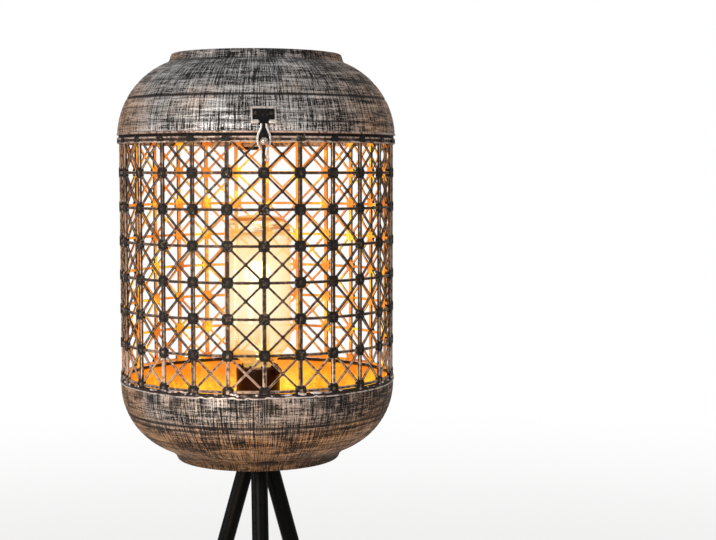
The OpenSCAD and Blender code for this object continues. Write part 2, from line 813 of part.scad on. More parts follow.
module bracket_screws() {
    color("#a9a9a6") at_bracket_screws(floor_z + bracket_t) pan_screw(bracket_t + sheet_t + hub_flange_t - 0.4);
}

module socket_nipple() {
    color("#c8a24a") on_axis() translate([0, 0, bracket_top_z - 7]) difference() {
        cylinder(h = 16, r = nipple_r);
        translate([0, 0, -1]) cylinder(h = 18, r = nipple_bore_r);
    }
}

module nipple_nut() {
    color("#c8a24a") on_axis() translate([0, 0, bracket_top_z - bracket_t - 3.5])
        hex_nut(14, 3.5, nipple_r + snug);
}

// The cap closes the socket's lower end and screws onto the nipple.
module socket_cap() {
    wall = 1.6;
    corner = 7;
    color("#1d1c1c") on_axis() translate([0, 0, cap_z]) rotate_extrude() difference() {
        union() {
            translate([socket_r - corner, corner]) circle(r = corner);
            square([socket_r - corner, cap_h - seat]);
            translate([0, corner]) square([socket_r, cap_h - seat - corner]);
        }
        union() {
            translate([socket_r - corner, corner]) circle(r = corner - wall);
            translate([0, wall]) square([socket_r - corner, cap_h]);
            translate([0, corner]) square([socket_r - wall, cap_h]);
        }
        translate([0, -1]) square([nipple_r + snug, cap_h]);
    }
}

// The switch key's stem starts on the lamp's axis and leaves through the shell's side.
key_z = socket_z - 6;
key_reach = socket_r / cos(key_tilt);
key_in = key_reach - 3;

module along_key() {
    on_axis() rotate([0, 0, -key_turn]) translate([0, 0, key_z - socket_r * tan(key_tilt)])
        rotate([0, 90 - key_tilt, 0]) children();
}

module socket_shell() {
    corner = 3;
    color("#1d1c1c") difference() {
        union() {
            on_axis() translate([0, 0, shell_z]) rotate_extrude() difference() {
                union() {
                    square([socket_r, socket_shell_h - corner]);
                    square([socket_r - corner, socket_shell_h]);
                    translate([socket_r - corner, socket_shell_h - corner]) circle(r = corner);
                }
                translate([0, -1]) square([shell_lip_r, socket_shell_h + 2]);
                translate([0, -1]) square([socket_r - socket_wall, socket_shell_h - 1.4]);
            }
            along_key() translate([0, 0, key_reach - 1]) cylinder(h = 2.4, r = key_stem_r + 1.4);
        }
        along_key() translate([0, 0, key_in - 4]) cylinder(h = 12, r = key_stem_r + fit);
        on_axis() translate([0, 0, shell_z]) cylinder(h = socket_shell_h - 2.4, r = socket_r - socket_wall);
    }
}

module switch_key() {
    grip = key_reach + 4.2;
    color("#15120f") along_key() {
        translate([0, 0, key_in + 0.6]) cylinder(h = grip - key_in + 1, r = key_stem_r);
        translate([0, 0, key_reach + 1.4 + play]) cylinder(h = 1, r = key_stem_r + 1);
        translate([0, 0, grip + 1]) intersection() {
            rotate([90, 0, 0]) cylinder(h = 2, r = 3.4, center = true);
            cube([5.6, 2, 6.4], center = true);
        }
    }
}

// The porcelain core: a floor with a wall round the screw shell.
module socket_core() {
    color("#e9e4d8") difference() {
        on_axis() rotate_extrude() difference() {
            translate([0, core_z]) square([core_r, socket_z - 4 - core_z]);
            translate([0, core_floor_z]) square([screw_shell_r + thread_t + seat, socket_shell_h]);
            translate([0, core_z - 1]) square([2, core_floor_z - core_z - 2]);
        }
        along_key() translate([0, 0, key_in]) cylinder(h = 10, r = key_stem_r + 0.4);
    }
}

module screw_shell() {
    color("#c9a24b") on_axis() rotate_extrude() {
        translate([screw_shell_r, shell_floor_z]) square([thread_t, socket_z - 6 - shell_floor_z]);
        translate([screw_shell_r - 6, shell_floor_z]) square([6 + hair, thread_t]);
    }
}

module centre_contact() {
    color("#cfae5a") on_axis() translate([0, 0, core_floor_z]) {
        cylinder(h = 1.2, r = 4.5);
        cylinder(h = bulb_z - core_floor_z - seat, r = 2.2);
    }
}

// ---- Bulb ----

module bulb_cap() {
    wall = 0.4;
    color("#b9b6ae") on_axis() rotate_extrude() {
        translate([cap_r - wall, bulb_cap_z]) square([wall, bulb_cap_top_z - bulb_cap_z]);
        translate([9.4, bulb_cap_z]) square([cap_r - 9.4, wall]);
    }
}

module bulb_insulator() {
    color("#26211d") on_axis() translate([0, 0, bulb_z + 1]) {
        cylinder(h = bulb_cap_z - bulb_z - 1 + hair, r1 = 5.5, r2 = 9.3);
        translate([0, 0, bulb_cap_z - bulb_z - 1]) cylinder(h = 1.2, r = 9.3);
    }
}

module bulb_contact() {
    color("#c9c6bd") on_axis() translate([0, 0, bulb_z]) cylinder(h = 1 - hair, r1 = 3.4, r2 = 4.4);
}

// Half of the glass's outline, drawn in by an inset: neck, swelling, straight side and crown.
module glass_outline(inset) {
    shoulder = 14;
    swell = 22;
    crown = 55;
    swell_z = socket_z + 25;
    side_top = glass_z - shoulder - 2;
    neck_low = bulb_cap_top_z - 6;
    translate([0, swell_z]) square([glass_r - inset, side_top - swell_z]);
    translate([glass_r - shoulder, side_top]) circle(r = shoulder - inset);
    translate([0, side_top]) square([glass_r - shoulder, shoulder - inset]);
    intersection() {
        translate([0, glass_z - crown]) circle(r = crown - inset);
        translate([0, side_top + shoulder - inset - 1]) square([glass_r - shoulder, shoulder]);
    }
    intersection() {
        translate([glass_r - swell, swell_z]) circle(r = swell - inset);
        translate([0, swell_z - 19 + inset]) square([glass_r, 19]);
    }
    translate([0, swell_z - 20]) square([glass_r - swell, 20]);
    polygon([
        [0, neck_low], [glass_neck_r - inset, neck_low], [glass_neck_r - inset, bulb_cap_top_z + 2],
        [glass_r - swell + 11.6 - inset, swell_z - 18.4], [0, swell_z - 18.4]
    ]);
}

module bulb_glass() {
    color([0.95, 0.9, 0.8, 0.35]) on_axis() rotate_extrude() intersection() {
        difference() {
            glass_outline(0);
            translate([0, -glass_t / 2]) glass_outline(glass_t);
            glass_outline(glass_t);
        }
        translate([0, shell_z]) square([2 * glass_r, glass_z - shell_z + 1]);
    }
}

// The glass stem that carries the filaments.
stem_z = bulb_cap_top_z - 6;
stem_top_z = socket_z + 34;
rod_z = socket_z + 36;
rod_circle_r = 9;
rod_lean = 3;

module bulb_stem() {
    color([0.92, 0.92, 0.88, 0.5]) on_axis() rotate_extrude() {
        polygon([
            [0, stem_z], [glass_neck_r - glass_t - 0.3, stem_z], [glass_neck_r - glass_t - 0.3, stem_z + 1.2],
            [5, stem_z + 8], [2.4, stem_z + 20], [2.2, stem_top_z], [0, stem_top_z]
        ]);
    }
}

// The filament rods lean in towards the top, and are held by a wire at each end.
module at_rods() {
    for (i = [0:filament_count - 1]) on_axis() rotate([0, 0, 45 + i * 360 / filament_count])
        translate([rod_circle_r, 0, rod_z]) rotate([0, -rod_lean, 0]) children();
}

module bulb_filaments() {
    color("#ffd27a") at_rods() cylinder(h = filament_l, r = filament_r, $fn = 24);
}

module filament_wires() {
    color("#9d968c") {
        at_rods() translate([0, 0, -2.5]) cylinder(h = 2.5 - seat, r = 0.4, $fn = 16);
        for (i = [0:filament_count - 1]) on_axis() rotate([0, 0, 45 + i * 360 / filament_count])
            translate([2.35, 0, stem_top_z - 1]) rotate([0, 82, 0]) cylinder(h = 7.05, r = 0.4, $fn = 16);
        on_axis() translate([0, 0, stem_top_z]) cylinder(h = filament_l + 4, r = 0.5, $fn = 16);
        // A spoke from the middle wire holds each rod's upper end.
        at_rods() {
            translate([0, 0, filament_l + seat]) cylinder(h = 1, r = 0.4, $fn = 16);
            translate([0, 0, filament_l + 1]) rotate([0, -87, 0])
                cylinder(h = rod_circle_r - filament_l * sin(rod_lean), r = 0.4, $fn = 16);
        }
    }
}

leg_front();
leg_right();
leg_left();
leg_tips();
leg_studs();
tripod_hub();
hub_screws();
hub_nuts();
base_ring();
bowl();
rim_ring();
shade_lattice();
top_band();
cord_bush();
socket_bracket();
bracket_screws();
socket_nipple();
nipple_nut();
socket_cap();
socket_shell();
socket_core();
screw_shell();
centre_contact();
switch_key();
bulb_cap();
bulb_insulator();
bulb_contact();
bulb_glass();
bulb_stem();
filament_wires();
bulb_filaments();
clasp_stud();
band_leaf();
band_leaf_rivets();
hinge_pin();
lid_dome();
lid_neck();
lid_leaf();
lid_leaf_rivets();
clasp_plate();
clasp_rivets();
clasp_pin();
clasp_tongue();
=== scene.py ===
"""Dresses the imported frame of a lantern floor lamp: lid, bowl, lattice shade, clasp, bulb and tripod."""

import logging
import math
import random
from dataclasses import dataclass, field
from enum import Enum
from typing import ClassVar

import bmesh
import bpy
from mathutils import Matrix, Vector

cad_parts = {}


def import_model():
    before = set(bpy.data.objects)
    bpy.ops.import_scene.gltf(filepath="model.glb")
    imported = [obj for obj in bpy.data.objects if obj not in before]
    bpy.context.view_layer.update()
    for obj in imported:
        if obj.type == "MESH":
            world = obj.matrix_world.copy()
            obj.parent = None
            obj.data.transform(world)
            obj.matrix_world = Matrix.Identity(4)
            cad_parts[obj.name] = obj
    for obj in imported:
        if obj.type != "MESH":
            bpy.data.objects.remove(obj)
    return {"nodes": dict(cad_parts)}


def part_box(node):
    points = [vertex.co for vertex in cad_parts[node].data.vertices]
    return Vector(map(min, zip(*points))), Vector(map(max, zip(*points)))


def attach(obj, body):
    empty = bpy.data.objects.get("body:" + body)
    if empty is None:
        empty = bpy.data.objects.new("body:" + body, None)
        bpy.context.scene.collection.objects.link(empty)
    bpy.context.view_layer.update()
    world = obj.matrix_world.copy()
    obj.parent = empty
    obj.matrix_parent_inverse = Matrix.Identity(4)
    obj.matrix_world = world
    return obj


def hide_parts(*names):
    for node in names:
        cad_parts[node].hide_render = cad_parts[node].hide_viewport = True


log = logging.getLogger("lantern")
MM = 0.001
FULL = 2.0 * math.pi
FAR = 9.0  # a height that no piece reaches, for a zone that a finish doesn't use
Point = tuple[float, float]
Place = tuple[float, float, float]
Colour = tuple[float, float, float]
Grooves = tuple[tuple[float, float], ...]
Corners = tuple[Vector, Vector]
Material = bpy.types.Material
Rings = list[list[bmesh.types.BMVert]]


# ---- Shader maths ----


class Value:
    """A socket in a material's tree that Python operators can work on."""

    def __init__(self, graph: "Graph", socket: bpy.types.NodeSocket) -> None:
        """Wraps a socket.

        Args:
            graph: the material's graph.
            socket: the output that carries the value.
        """
        self.graph = graph
        self.socket = socket

    def math(self, operation: str, *others: "Value | float") -> "Value":
        """Adds a Math node.

        Args:
            operation: the node's operation.
            others: its further inputs.

        Returns:
            The node's result.
        """
        return self.graph.add("ShaderNodeMath", {"operation": operation}, dict(enumerate((self, *others))))

    def __add__(self, other: "Value | float") -> "Value":
        """Adds."""
        return self.math("ADD", other)

    def __radd__(self, other: float) -> "Value":
        """Adds a plain number on the left."""
        return self.math("ADD", other)

    def __sub__(self, other: "Value | float") -> "Value":
        """Subtracts."""
        return self.math("SUBTRACT", other)

    def __rsub__(self, other: float) -> "Value":
        """Subtracts this value from a plain number."""
        return self.graph.add("ShaderNodeMath", {"operation": "SUBTRACT"}, {0: other, 1: self})

    def __mul__(self, other: "Value | float") -> "Value":
        """Multiplies."""
        return self.math("MULTIPLY", other)

    def __rmul__(self, other: float) -> "Value":
        """Multiplies by a plain number on the left."""
        return self.math("MULTIPLY", other)

    def __truediv__(self, other: "Value | float") -> "Value":
        """Divides."""
        return self.math("DIVIDE", other)

    def power(self, exponent: float) -> "Value":
        """Raises to a power."""
        return self.math("POWER", exponent)

    def top(self, other: "Value | float") -> "Value":
        """The larger of two."""
        return self.math("MAXIMUM", other)

    def low(self, other: "Value | float") -> "Value":
        """The smaller of two."""
        return self.math("MINIMUM", other)

    def size(self) -> "Value":
        """The value without its sign."""
        return self.math("ABSOLUTE")

    def step(self, start: float, end: float, low: float = 0.0, high: float = 1.0) -> "Value":
        """A smooth step.

        Args:
            start: where the step starts.
            end: where it ends.
            low: the value before it.
            high: the value after it.

        Returns:
            The stepped value.
        """
        sockets = {"Value": self, "From Min": start, "From Max": end, "To Min": low, "To Max": high}
        settings = {"interpolation_type": "SMOOTHSTEP", "clamp": True}
        return self.graph.add("ShaderNodeMapRange", settings, sockets)


class Graph:
    """The node tree of one material."""

    def __init__(self, name: str) -> None:
        """Makes an empty material with its output and its main shader.

        Args:
            name: the material's name.
        """
        self.material = bpy.data.materials.new(name)
        self.material.use_nodes = True
        self.tree = self.material.node_tree
        self.tree.nodes.clear()
        self.output = self.tree.nodes.new("ShaderNodeOutputMaterial")
        self.shader = self.tree.nodes.new("ShaderNodeBsdfPrincipled")
        self.tree.links.new(self.shader.outputs[0], self.output.inputs["Surface"])

    def feed(self, socket: bpy.types.NodeSocket, value: object) -> None:
        """Puts a value or a link into a socket.

        Args:
            socket: the input.
            value: a Value, a number, a colour or a vector.
        """
        if isinstance(value, Value):
            self.tree.links.new(value.socket, socket)
        elif isinstance(value, tuple) and socket.type == "RGBA":
            socket.default_value = (*value, 1.0)
        else:
            socket.default_value = value

    def add(self, kind: str, settings: dict[str, object] | None = None,
            sockets: dict[object, object] | None = None, out: int | str = 0) -> Value:
        """Adds any node.

        Args:
            kind: the node's type.
            settings: its own properties, set first.
            sockets: its inputs by name or by number.
            out: which output to give back.

        Returns:
            The output.
        """
        node = self.tree.nodes.new(kind)
        for key, value in (settings or {}).items():
            setattr(node, key, value)
        for key, value in (sockets or {}).items():
            self.feed(node.inputs[key], value)
        return Value(self, node.outputs[out])

    def mix(self, share: Value | float, first: Value | Colour, second: Value | Colour) -> Value:
        """Mixes two colours.

        Args:
            share: 0 gives the first and 1 the second.
            first: a colour.
            second: a colour.

        Returns:
            The mixed colour.
        """
        return self.add("ShaderNodeMix", {"data_type": "RGBA"}, {0: share, 6: first, 7: second}, 2)

    def noise(self, where: Value, scale: float, detail: float, rough: float) -> Value:
        """A noise from 0 to 1.

        Args:
            where: its coordinates.
            scale: its scale.
            detail: how many finer layers it has.
            rough: how strong they are.

        Returns:
            The noise's factor.
        """
        sockets = {"Vector": where, "Scale": scale, "Detail": detail, "Roughness": rough}
        return self.add("ShaderNodeTexNoise", {"noise_dimensions": "3D"}, sockets)

    def place(self) -> Value:
        """Where a point is on the piece, in metres."""
        return self.add("ShaderNodeTexCoord", out="Object")

    def parts(self, vector: Value) -> tuple[Value, Value, Value]:
        """A vector's three numbers."""
        node = self.tree.nodes.new("ShaderNodeSeparateXYZ")
        self.feed(node.inputs[0], vector)
        return tuple(Value(self, node.outputs[i]) for i in range(3))

    def about(self, where: Value, axis_y: float) -> tuple[Value, Value, Value]:
        """A point's place from the lamp's axis: to the right, to the back and up.

        Args:
            where: the point.
            axis_y: the axis's place.

        Returns:
            The three numbers.
        """
        x, y, z = self.parts(where)
        return x, y - axis_y, z

    def vector(self, x: Value, y: Value, z: Value) -> Value:
        """A vector from three numbers."""
        return self.add("ShaderNodeCombineXYZ", {}, {0: x, 1: y, 2: z})

    def bump(self, height: Value, distance: float, strength: float) -> None:
        """Feeds a height to the main shader's normal.

        Args:
            height: the height, about 0 to 1.
            distance: the depth of a height of 1, in metres.
            strength: how much of it shows.
        """
        sockets = {"Height": height, "Distance": distance, "Strength": strength}
        self.set(Normal=self.add("ShaderNodeBump", {}, sockets))

    def set(self, **sockets: object) -> None:
        """Sets the main shader's sockets, with _ for a space in their names."""
        for key, value in sockets.items():
            self.feed(self.shader.inputs[key.replace("_", " ")], value)


# ---- Finishes ----


class Lean(Enum):
    """Which way a skin's brush strokes follow its curve."""

    LID = -1.0
    BOWL = 1.0


@dataclass(frozen=True)
class RubbedSilver:
    """Silver rubbed over black, with strokes round the skin and up it.

    Each groove is its place along the skin, in metres, and its depth, up to 1. The heights are in
    metres too: below warm_reflection_z the skin carries a painted warm reflection, above top_shade_z painted
    shade, and just under rim_shade_z painted shade in patches. The silver is taken off evenly by thin, and a
    little more towards the right as painted shade. The sides carry a painted warm reflection,
    which reach draws closer to the middle.
    """

    # the warm tones serve both the silver's own warm patches and the painted warm reflection
    COOL: ClassVar[tuple[Colour, Colour]] = ((0.54, 0.53, 0.53), (0.92, 0.91, 0.91))
    WARM: ClassVar[tuple[Colour, Colour]] = ((0.64, 0.35, 0.17), (0.94, 0.62, 0.37))
    BLACK: ClassVar[tuple[Colour, Colour]] = ((0.0032, 0.0033, 0.0037), (0.0060, 0.0030, 0.0017))

    name: str
    axis_y: float
    lean: Lean
    grooves: Grooves = ()
    warm_reflection_z: float = 0.0
    pale: float = 1.0
    top_shade_z: float = FAR
    warmth: float = 0.0
    reach: float = 1.0
    rim_shade_z: float = FAR
    thin: float = 0.0

    def build(self) -> Material:
        """Makes the material."""
        g = Graph(self.name)
        where = g.place()
        x, y, z = g.about(where, self.axis_y)
        r = (x * x + y * y).power(0.5).top(0.01)
        along_skin = z + r * self.lean.value
        ux, uy = x / r, y / r

        def layer(around: float, along: float, detail: float, rough: float) -> Value:
            """A noise with so many spots a radian round the axis and a metre along the skin."""
            return g.noise(g.vector(ux * around, uy * around, along_skin * along), 1.0, detail, rough)

        rings = layer(7.0, 1050.0, 4.0, 0.66)
        strokes = layer(145.0, 62.0, 3.0, 0.66)
        fine = layer(150.0, 26.0, 3.0, 0.6)
        zones = layer(2.2, 110.0, 3.0, 0.6)
        grain = g.noise(where, 1000.0, 2.0, 0.6)
        cloud = g.noise(where, 26.0, 3.0, 0.5)
        amount = rings * 0.34 + strokes * 0.34 + fine * 0.28 + grain * 0.20 + cloud * 0.13 + zones * 0.22
        # silver taken off evenly by thin, and more above top_shade_z as painted shade towards the top
        amount = amount - z.step(self.top_shade_z - 0.030, self.top_shade_z, self.thin, self.thin + 0.020)
        # painted shade: a little less silver, so darker, towards the right side
        amount = amount - x.step(0.02, 0.10, 0.0, 0.008)
        cover = amount.step(0.71, 0.79) * self.pale
        fleck = amount.step(0.80, 0.88) * self.pale
        turned = layer(0.7, 300.0, 3.0, 0.7).step(0.58, 0.66)
        # painted shade in patches in the band just under rim_shade_z, below the rim, added to the dark turned
        # lines
        painted_rim_shade = layer(3.4, 26.0, 4.0, 0.65).step(0.44, 0.56)
        dark = turned * 0.55 + painted_rim_shade * z.step(self.rim_shade_z - 0.017, self.rim_shade_z - 0.006) * 0.8
        for level, depth in self.grooves:
            dark = (along_skin - level).size().step(0.0008, 0.0028, depth, 0.0) + dark
        cover = cover * (1.0 - dark.low(1.0) * 0.95)
        # painted warm reflection: warmer at both sides, most on the left, and below warm_reflection_z
        side = (x * self.reach).step(-0.080, -0.116) + (x * self.reach).step(0.02, 0.112) * 0.85
        below = z.step(self.warm_reflection_z + 0.022, self.warm_reflection_z - 0.012)
        # the silver's own warmth and warm patches, plus the painted warm reflection of the sides and below
        warm = (self.warmth + side * 0.8 + below + cloud.step(0.5, 0.7) * 0.25).low(1.0)
        pale = g.mix(warm, g.mix(fleck, *self.COOL), g.mix(fleck, *self.WARM))
        g.set(Base_Color=g.mix(cover, g.mix(warm, *self.BLACK), pale), Specular_IOR_Level=0.2,
              Metallic=cover.step(0.0, 1.0, 0.1, 0.62), Roughness=cover.step(0.0, 1.0, 0.5, 0.34))
        g.bump(rings * 0.5 + strokes * 0.5 + fine * 0.35 + cover * 0.4, 0.0006, 0.8)
        return g.material


@dataclass(frozen=True)
class AgedMetal:
    """A cast or bent metal: dark, and worn pale in patches."""

    name: str
    dark: Colour
    worn: Colour
    wear: float = 0.5
    metallic: float = 0.6
    rough: float = 0.45
    grain: float = 260.0
    relief: float = 0.0003
    shine: float = 0.5

    def build(self) -> Material:
        """Makes the material."""
        g = Graph(self.name)
        where = g.place()
        patch = g.noise(where, self.grain, 4.0, 0.62)
        cloud = g.noise(where, 38.0, 2.0, 0.5)
        bare = 0.62 - 0.2 * self.wear
        worn = (patch * 0.7 + cloud * 0.3).step(bare, bare + 0.14)
        g.set(Base_Color=g.mix(worn, self.dark, self.worn), Metallic=self.metallic,
              Specular_IOR_Level=self.shine,
              Roughness=worn.step(0.0, 1.0, self.rough + 0.12, self.rough - 0.06))
        g.bump(patch * 0.7 + worn * 0.3, self.relief, 0.8)
        return g.material


@dataclass(frozen=True)
class LatticeBar:
    """The bars of the shade: brown metal worn pale in patches, with a painted highlight low down and at the
    sides.
    """

    name: str
    dark: Colour
    worn: Colour
    low_highlight_tone: Colour
    low_highlight: float
    window: tuple[float, float] = (0.5, 0.66)

    def build(self) -> Material:
        """Makes the material."""
        g = Graph(self.name)
        where = g.place()
        x, _, z = g.parts(where)
        patch = g.noise(where, 330.0, 4.0, 0.62)
        cloud = g.noise(where, 30.0, 2.0, 0.5)
        # painted highlight: paler towards the bowl (low) and at the shade's sides (side)
        low = z.step(0.790, 0.768)
        side = x.size().step(0.07, 0.114)
        # wear patches from the noise, with the painted highlight low down and at the sides added
        worn = (patch * 0.65 + cloud * 0.35 + low * self.low_highlight + side * 0.06).step(*self.window)
        g.set(Base_Color=g.mix(worn, self.dark, g.mix(low, self.worn, self.low_highlight_tone)), Metallic=0.45,
              Specular_IOR_Level=0.35, Roughness=worn.step(0.0, 1.0, 0.5, 0.38))
        g.bump(patch, 0.0003, 0.8)
        return g.material


@dataclass(frozen=True)
class GiltAndPaintedGlow:
    """Gilded inner faces, gold in patches, with painted bulb light: a glow, yellower below painted_glow_z."""

    # painted bulb light: the glow's colours, dim amber away from the bulb, lit amber and gold near it
    AMBER: ClassVar[Colour] = (0.10, 0.020, 0.001)
    LIT_AMBER: ClassVar[Colour] = (0.60, 0.24, 0.035)
    LIT_GOLD: ClassVar[Colour] = (1.0, 0.72, 0.03)

    name: str
    axis_y: float
    tone: Colour = (0.86, 0.44, 0.10)
    deep: Colour = (0.50, 0.18, 0.03)
    gold: Colour = (0.98, 0.80, 0.10)
    painted_glow_z: float = 0.0
    patchy: float = 0.9
    bulb_z: float = 0.845

    def build(self) -> Material:
        """Makes the material."""
        g = Graph(self.name)
        where = g.place()
        x, y, z = g.about(where, self.axis_y)
        rise = z - self.bulb_z
        # painted bulb light: the glow grows towards the bulb
        near = (x * x + y * y + rise * rise).power(0.5).step(0.165, 0.112)
        cloud = g.noise(where, 34.0, 4.0, 0.6)
        grain = g.noise(where, 420.0, 2.0, 0.5)
        worn = (cloud * 0.7 + grain * 0.3).step(0.36, 0.62)
        patches = g.noise(where, 55.0, 3.0, 0.55).step(0.47, 0.60) * self.patchy
        # gold patches, and a painted yellow lit zone below painted_glow_z
        gold_and_painted_glow = (patches + z.step(self.painted_glow_z, self.painted_glow_z - 0.028)).low(1.0)
        tone = g.mix(worn, self.deep, g.mix(gold_and_painted_glow, self.tone, self.gold))
        glow = g.mix(gold_and_painted_glow, g.mix(near, self.AMBER, self.LIT_AMBER), self.LIT_GOLD)
        # painted bulb light: the inner faces glow, though they hold no lamp
        g.set(Base_Color=tone, Metallic=0.2, Roughness=0.45, Emission_Strength=0.35,
              Emission_Color=g.mix(worn, g.mix(0.5, glow, self.deep), glow))
        g.bump(grain, 0.0002, 0.6)
        return g.material


@dataclass(frozen=True)
class PlainCoat:
    """One even coat with a fine texture: paint, moulding, porcelain or rubber."""

    name: str
    tone: Colour
    rough: float = 0.4
    coat: float = 0.0
    texture: float = 900.0
    relief: float = 0.00006
    mottle: float = 0.25
    shine: float = 0.5

    def build(self) -> Material:
        """Makes the material."""
        g = Graph(self.name)
        where = g.place()
        fine = g.noise(where, self.texture, 3.0, 0.5)
        cloud = g.noise(where, 21.0, 3.0, 0.55)
        shade = (fine * 0.4 + cloud * 0.6).step(0.3, 0.7)
        dark = tuple(c * (1.0 - self.mottle) for c in self.tone)
        pale = tuple(min(1.0, c * (1.0 + self.mottle)) for c in self.tone)
        g.set(Base_Color=g.mix(shade, dark, pale), Coat_Weight=self.coat, Specular_IOR_Level=self.shine,
              Roughness=shade.step(0.0, 1.0, self.rough + 0.06, self.rough - 0.04))
        g.bump(fine, self.relief, 0.8)
        return g.material


@dataclass(frozen=True)
class LitGlass:
    """Clear blown glass with the warm light of the rods in it, from low_z to high_z."""

    HAZE: ClassVar[tuple[Colour, Colour]] = ((1.0, 0.66, 0.17), (0.80, 0.30, 0.03))
    STAIN: ClassVar[Colour] = (0.50, 0.12, 0.008)
    BODY: ClassVar[Colour] = (0.03, 0.014, 0.004)

    name: str
    glow: Colour
    strength: float
    low_z: float
    high_z: float
    clear: float
    crown_z: float = FAR

    def build(self) -> Material:
        """Makes the material."""
        g = Graph(self.name)
        where = g.place()
        x, y, z = g.parts(where)
        edge = g.add("ShaderNodeLayerWeight", {}, {"Blend": 0.35}, "Facing")
        band = z.step(self.low_z - 0.03, self.low_z + 0.02) * z.step(self.high_z + 0.02, self.high_z - 0.02)
        core = band * (1.0 - edge).power(1.3)
        smear = g.noise(g.vector(x * 34.0, y * 34.0, z * 190.0), 1.0, 4.0, 0.6).step(0.46, 0.60)
        above = z.step(self.high_z + 0.004, self.high_z + 0.022)
        below = z.step(self.low_z - 0.014, self.low_z - 0.030)
        crown = (z - self.crown_z).size().step(0.0022, 0.0008)
        stain = (smear * ((above + below) * 0.9 + edge.power(2.0) * 0.8).low(1.0)).top(crown * 0.9)
        alpha = (edge.power(2.0) * 0.45 + self.clear + core * 0.6 + stain * 0.6).low(0.92)
        haze = g.mix(stain, g.mix(edge.power(1.5), *self.HAZE), self.STAIN)
        g.set(Base_Color=self.BODY, Roughness=0.05, Alpha=alpha, Coat_Weight=0.4,
              Emission_Color=g.mix(core, haze, self.glow), Emission_Strength=self.strength)
        g.bump(g.noise(where, 60.0, 2.0, 0.5), 0.0005, 0.4)
        g.material.surface_render_method = "BLENDED"
        return g.material


@dataclass(frozen=True)
class LitRod:
    """A rod that glows."""

    name: str
    glow: Colour
    strength: float

    def build(self) -> Material:
        """Makes the material."""
        g = Graph(self.name)
        grain = g.noise(g.place(), 700.0, 2.0, 0.5)
        tone = g.mix(grain, tuple(c * 0.9 for c in self.glow), self.glow)
        g.set(Base_Color=(0.9, 0.7, 0.35), Roughness=0.5, Emission_Color=tone, Emission_Strength=self.strength)
        return g.material


MOULDING = PlainCoat("socket_moulding", (0.014, 0.0016, 0.0010), 0.34, shine=0.14)


# ---- Geometry Nodes ----


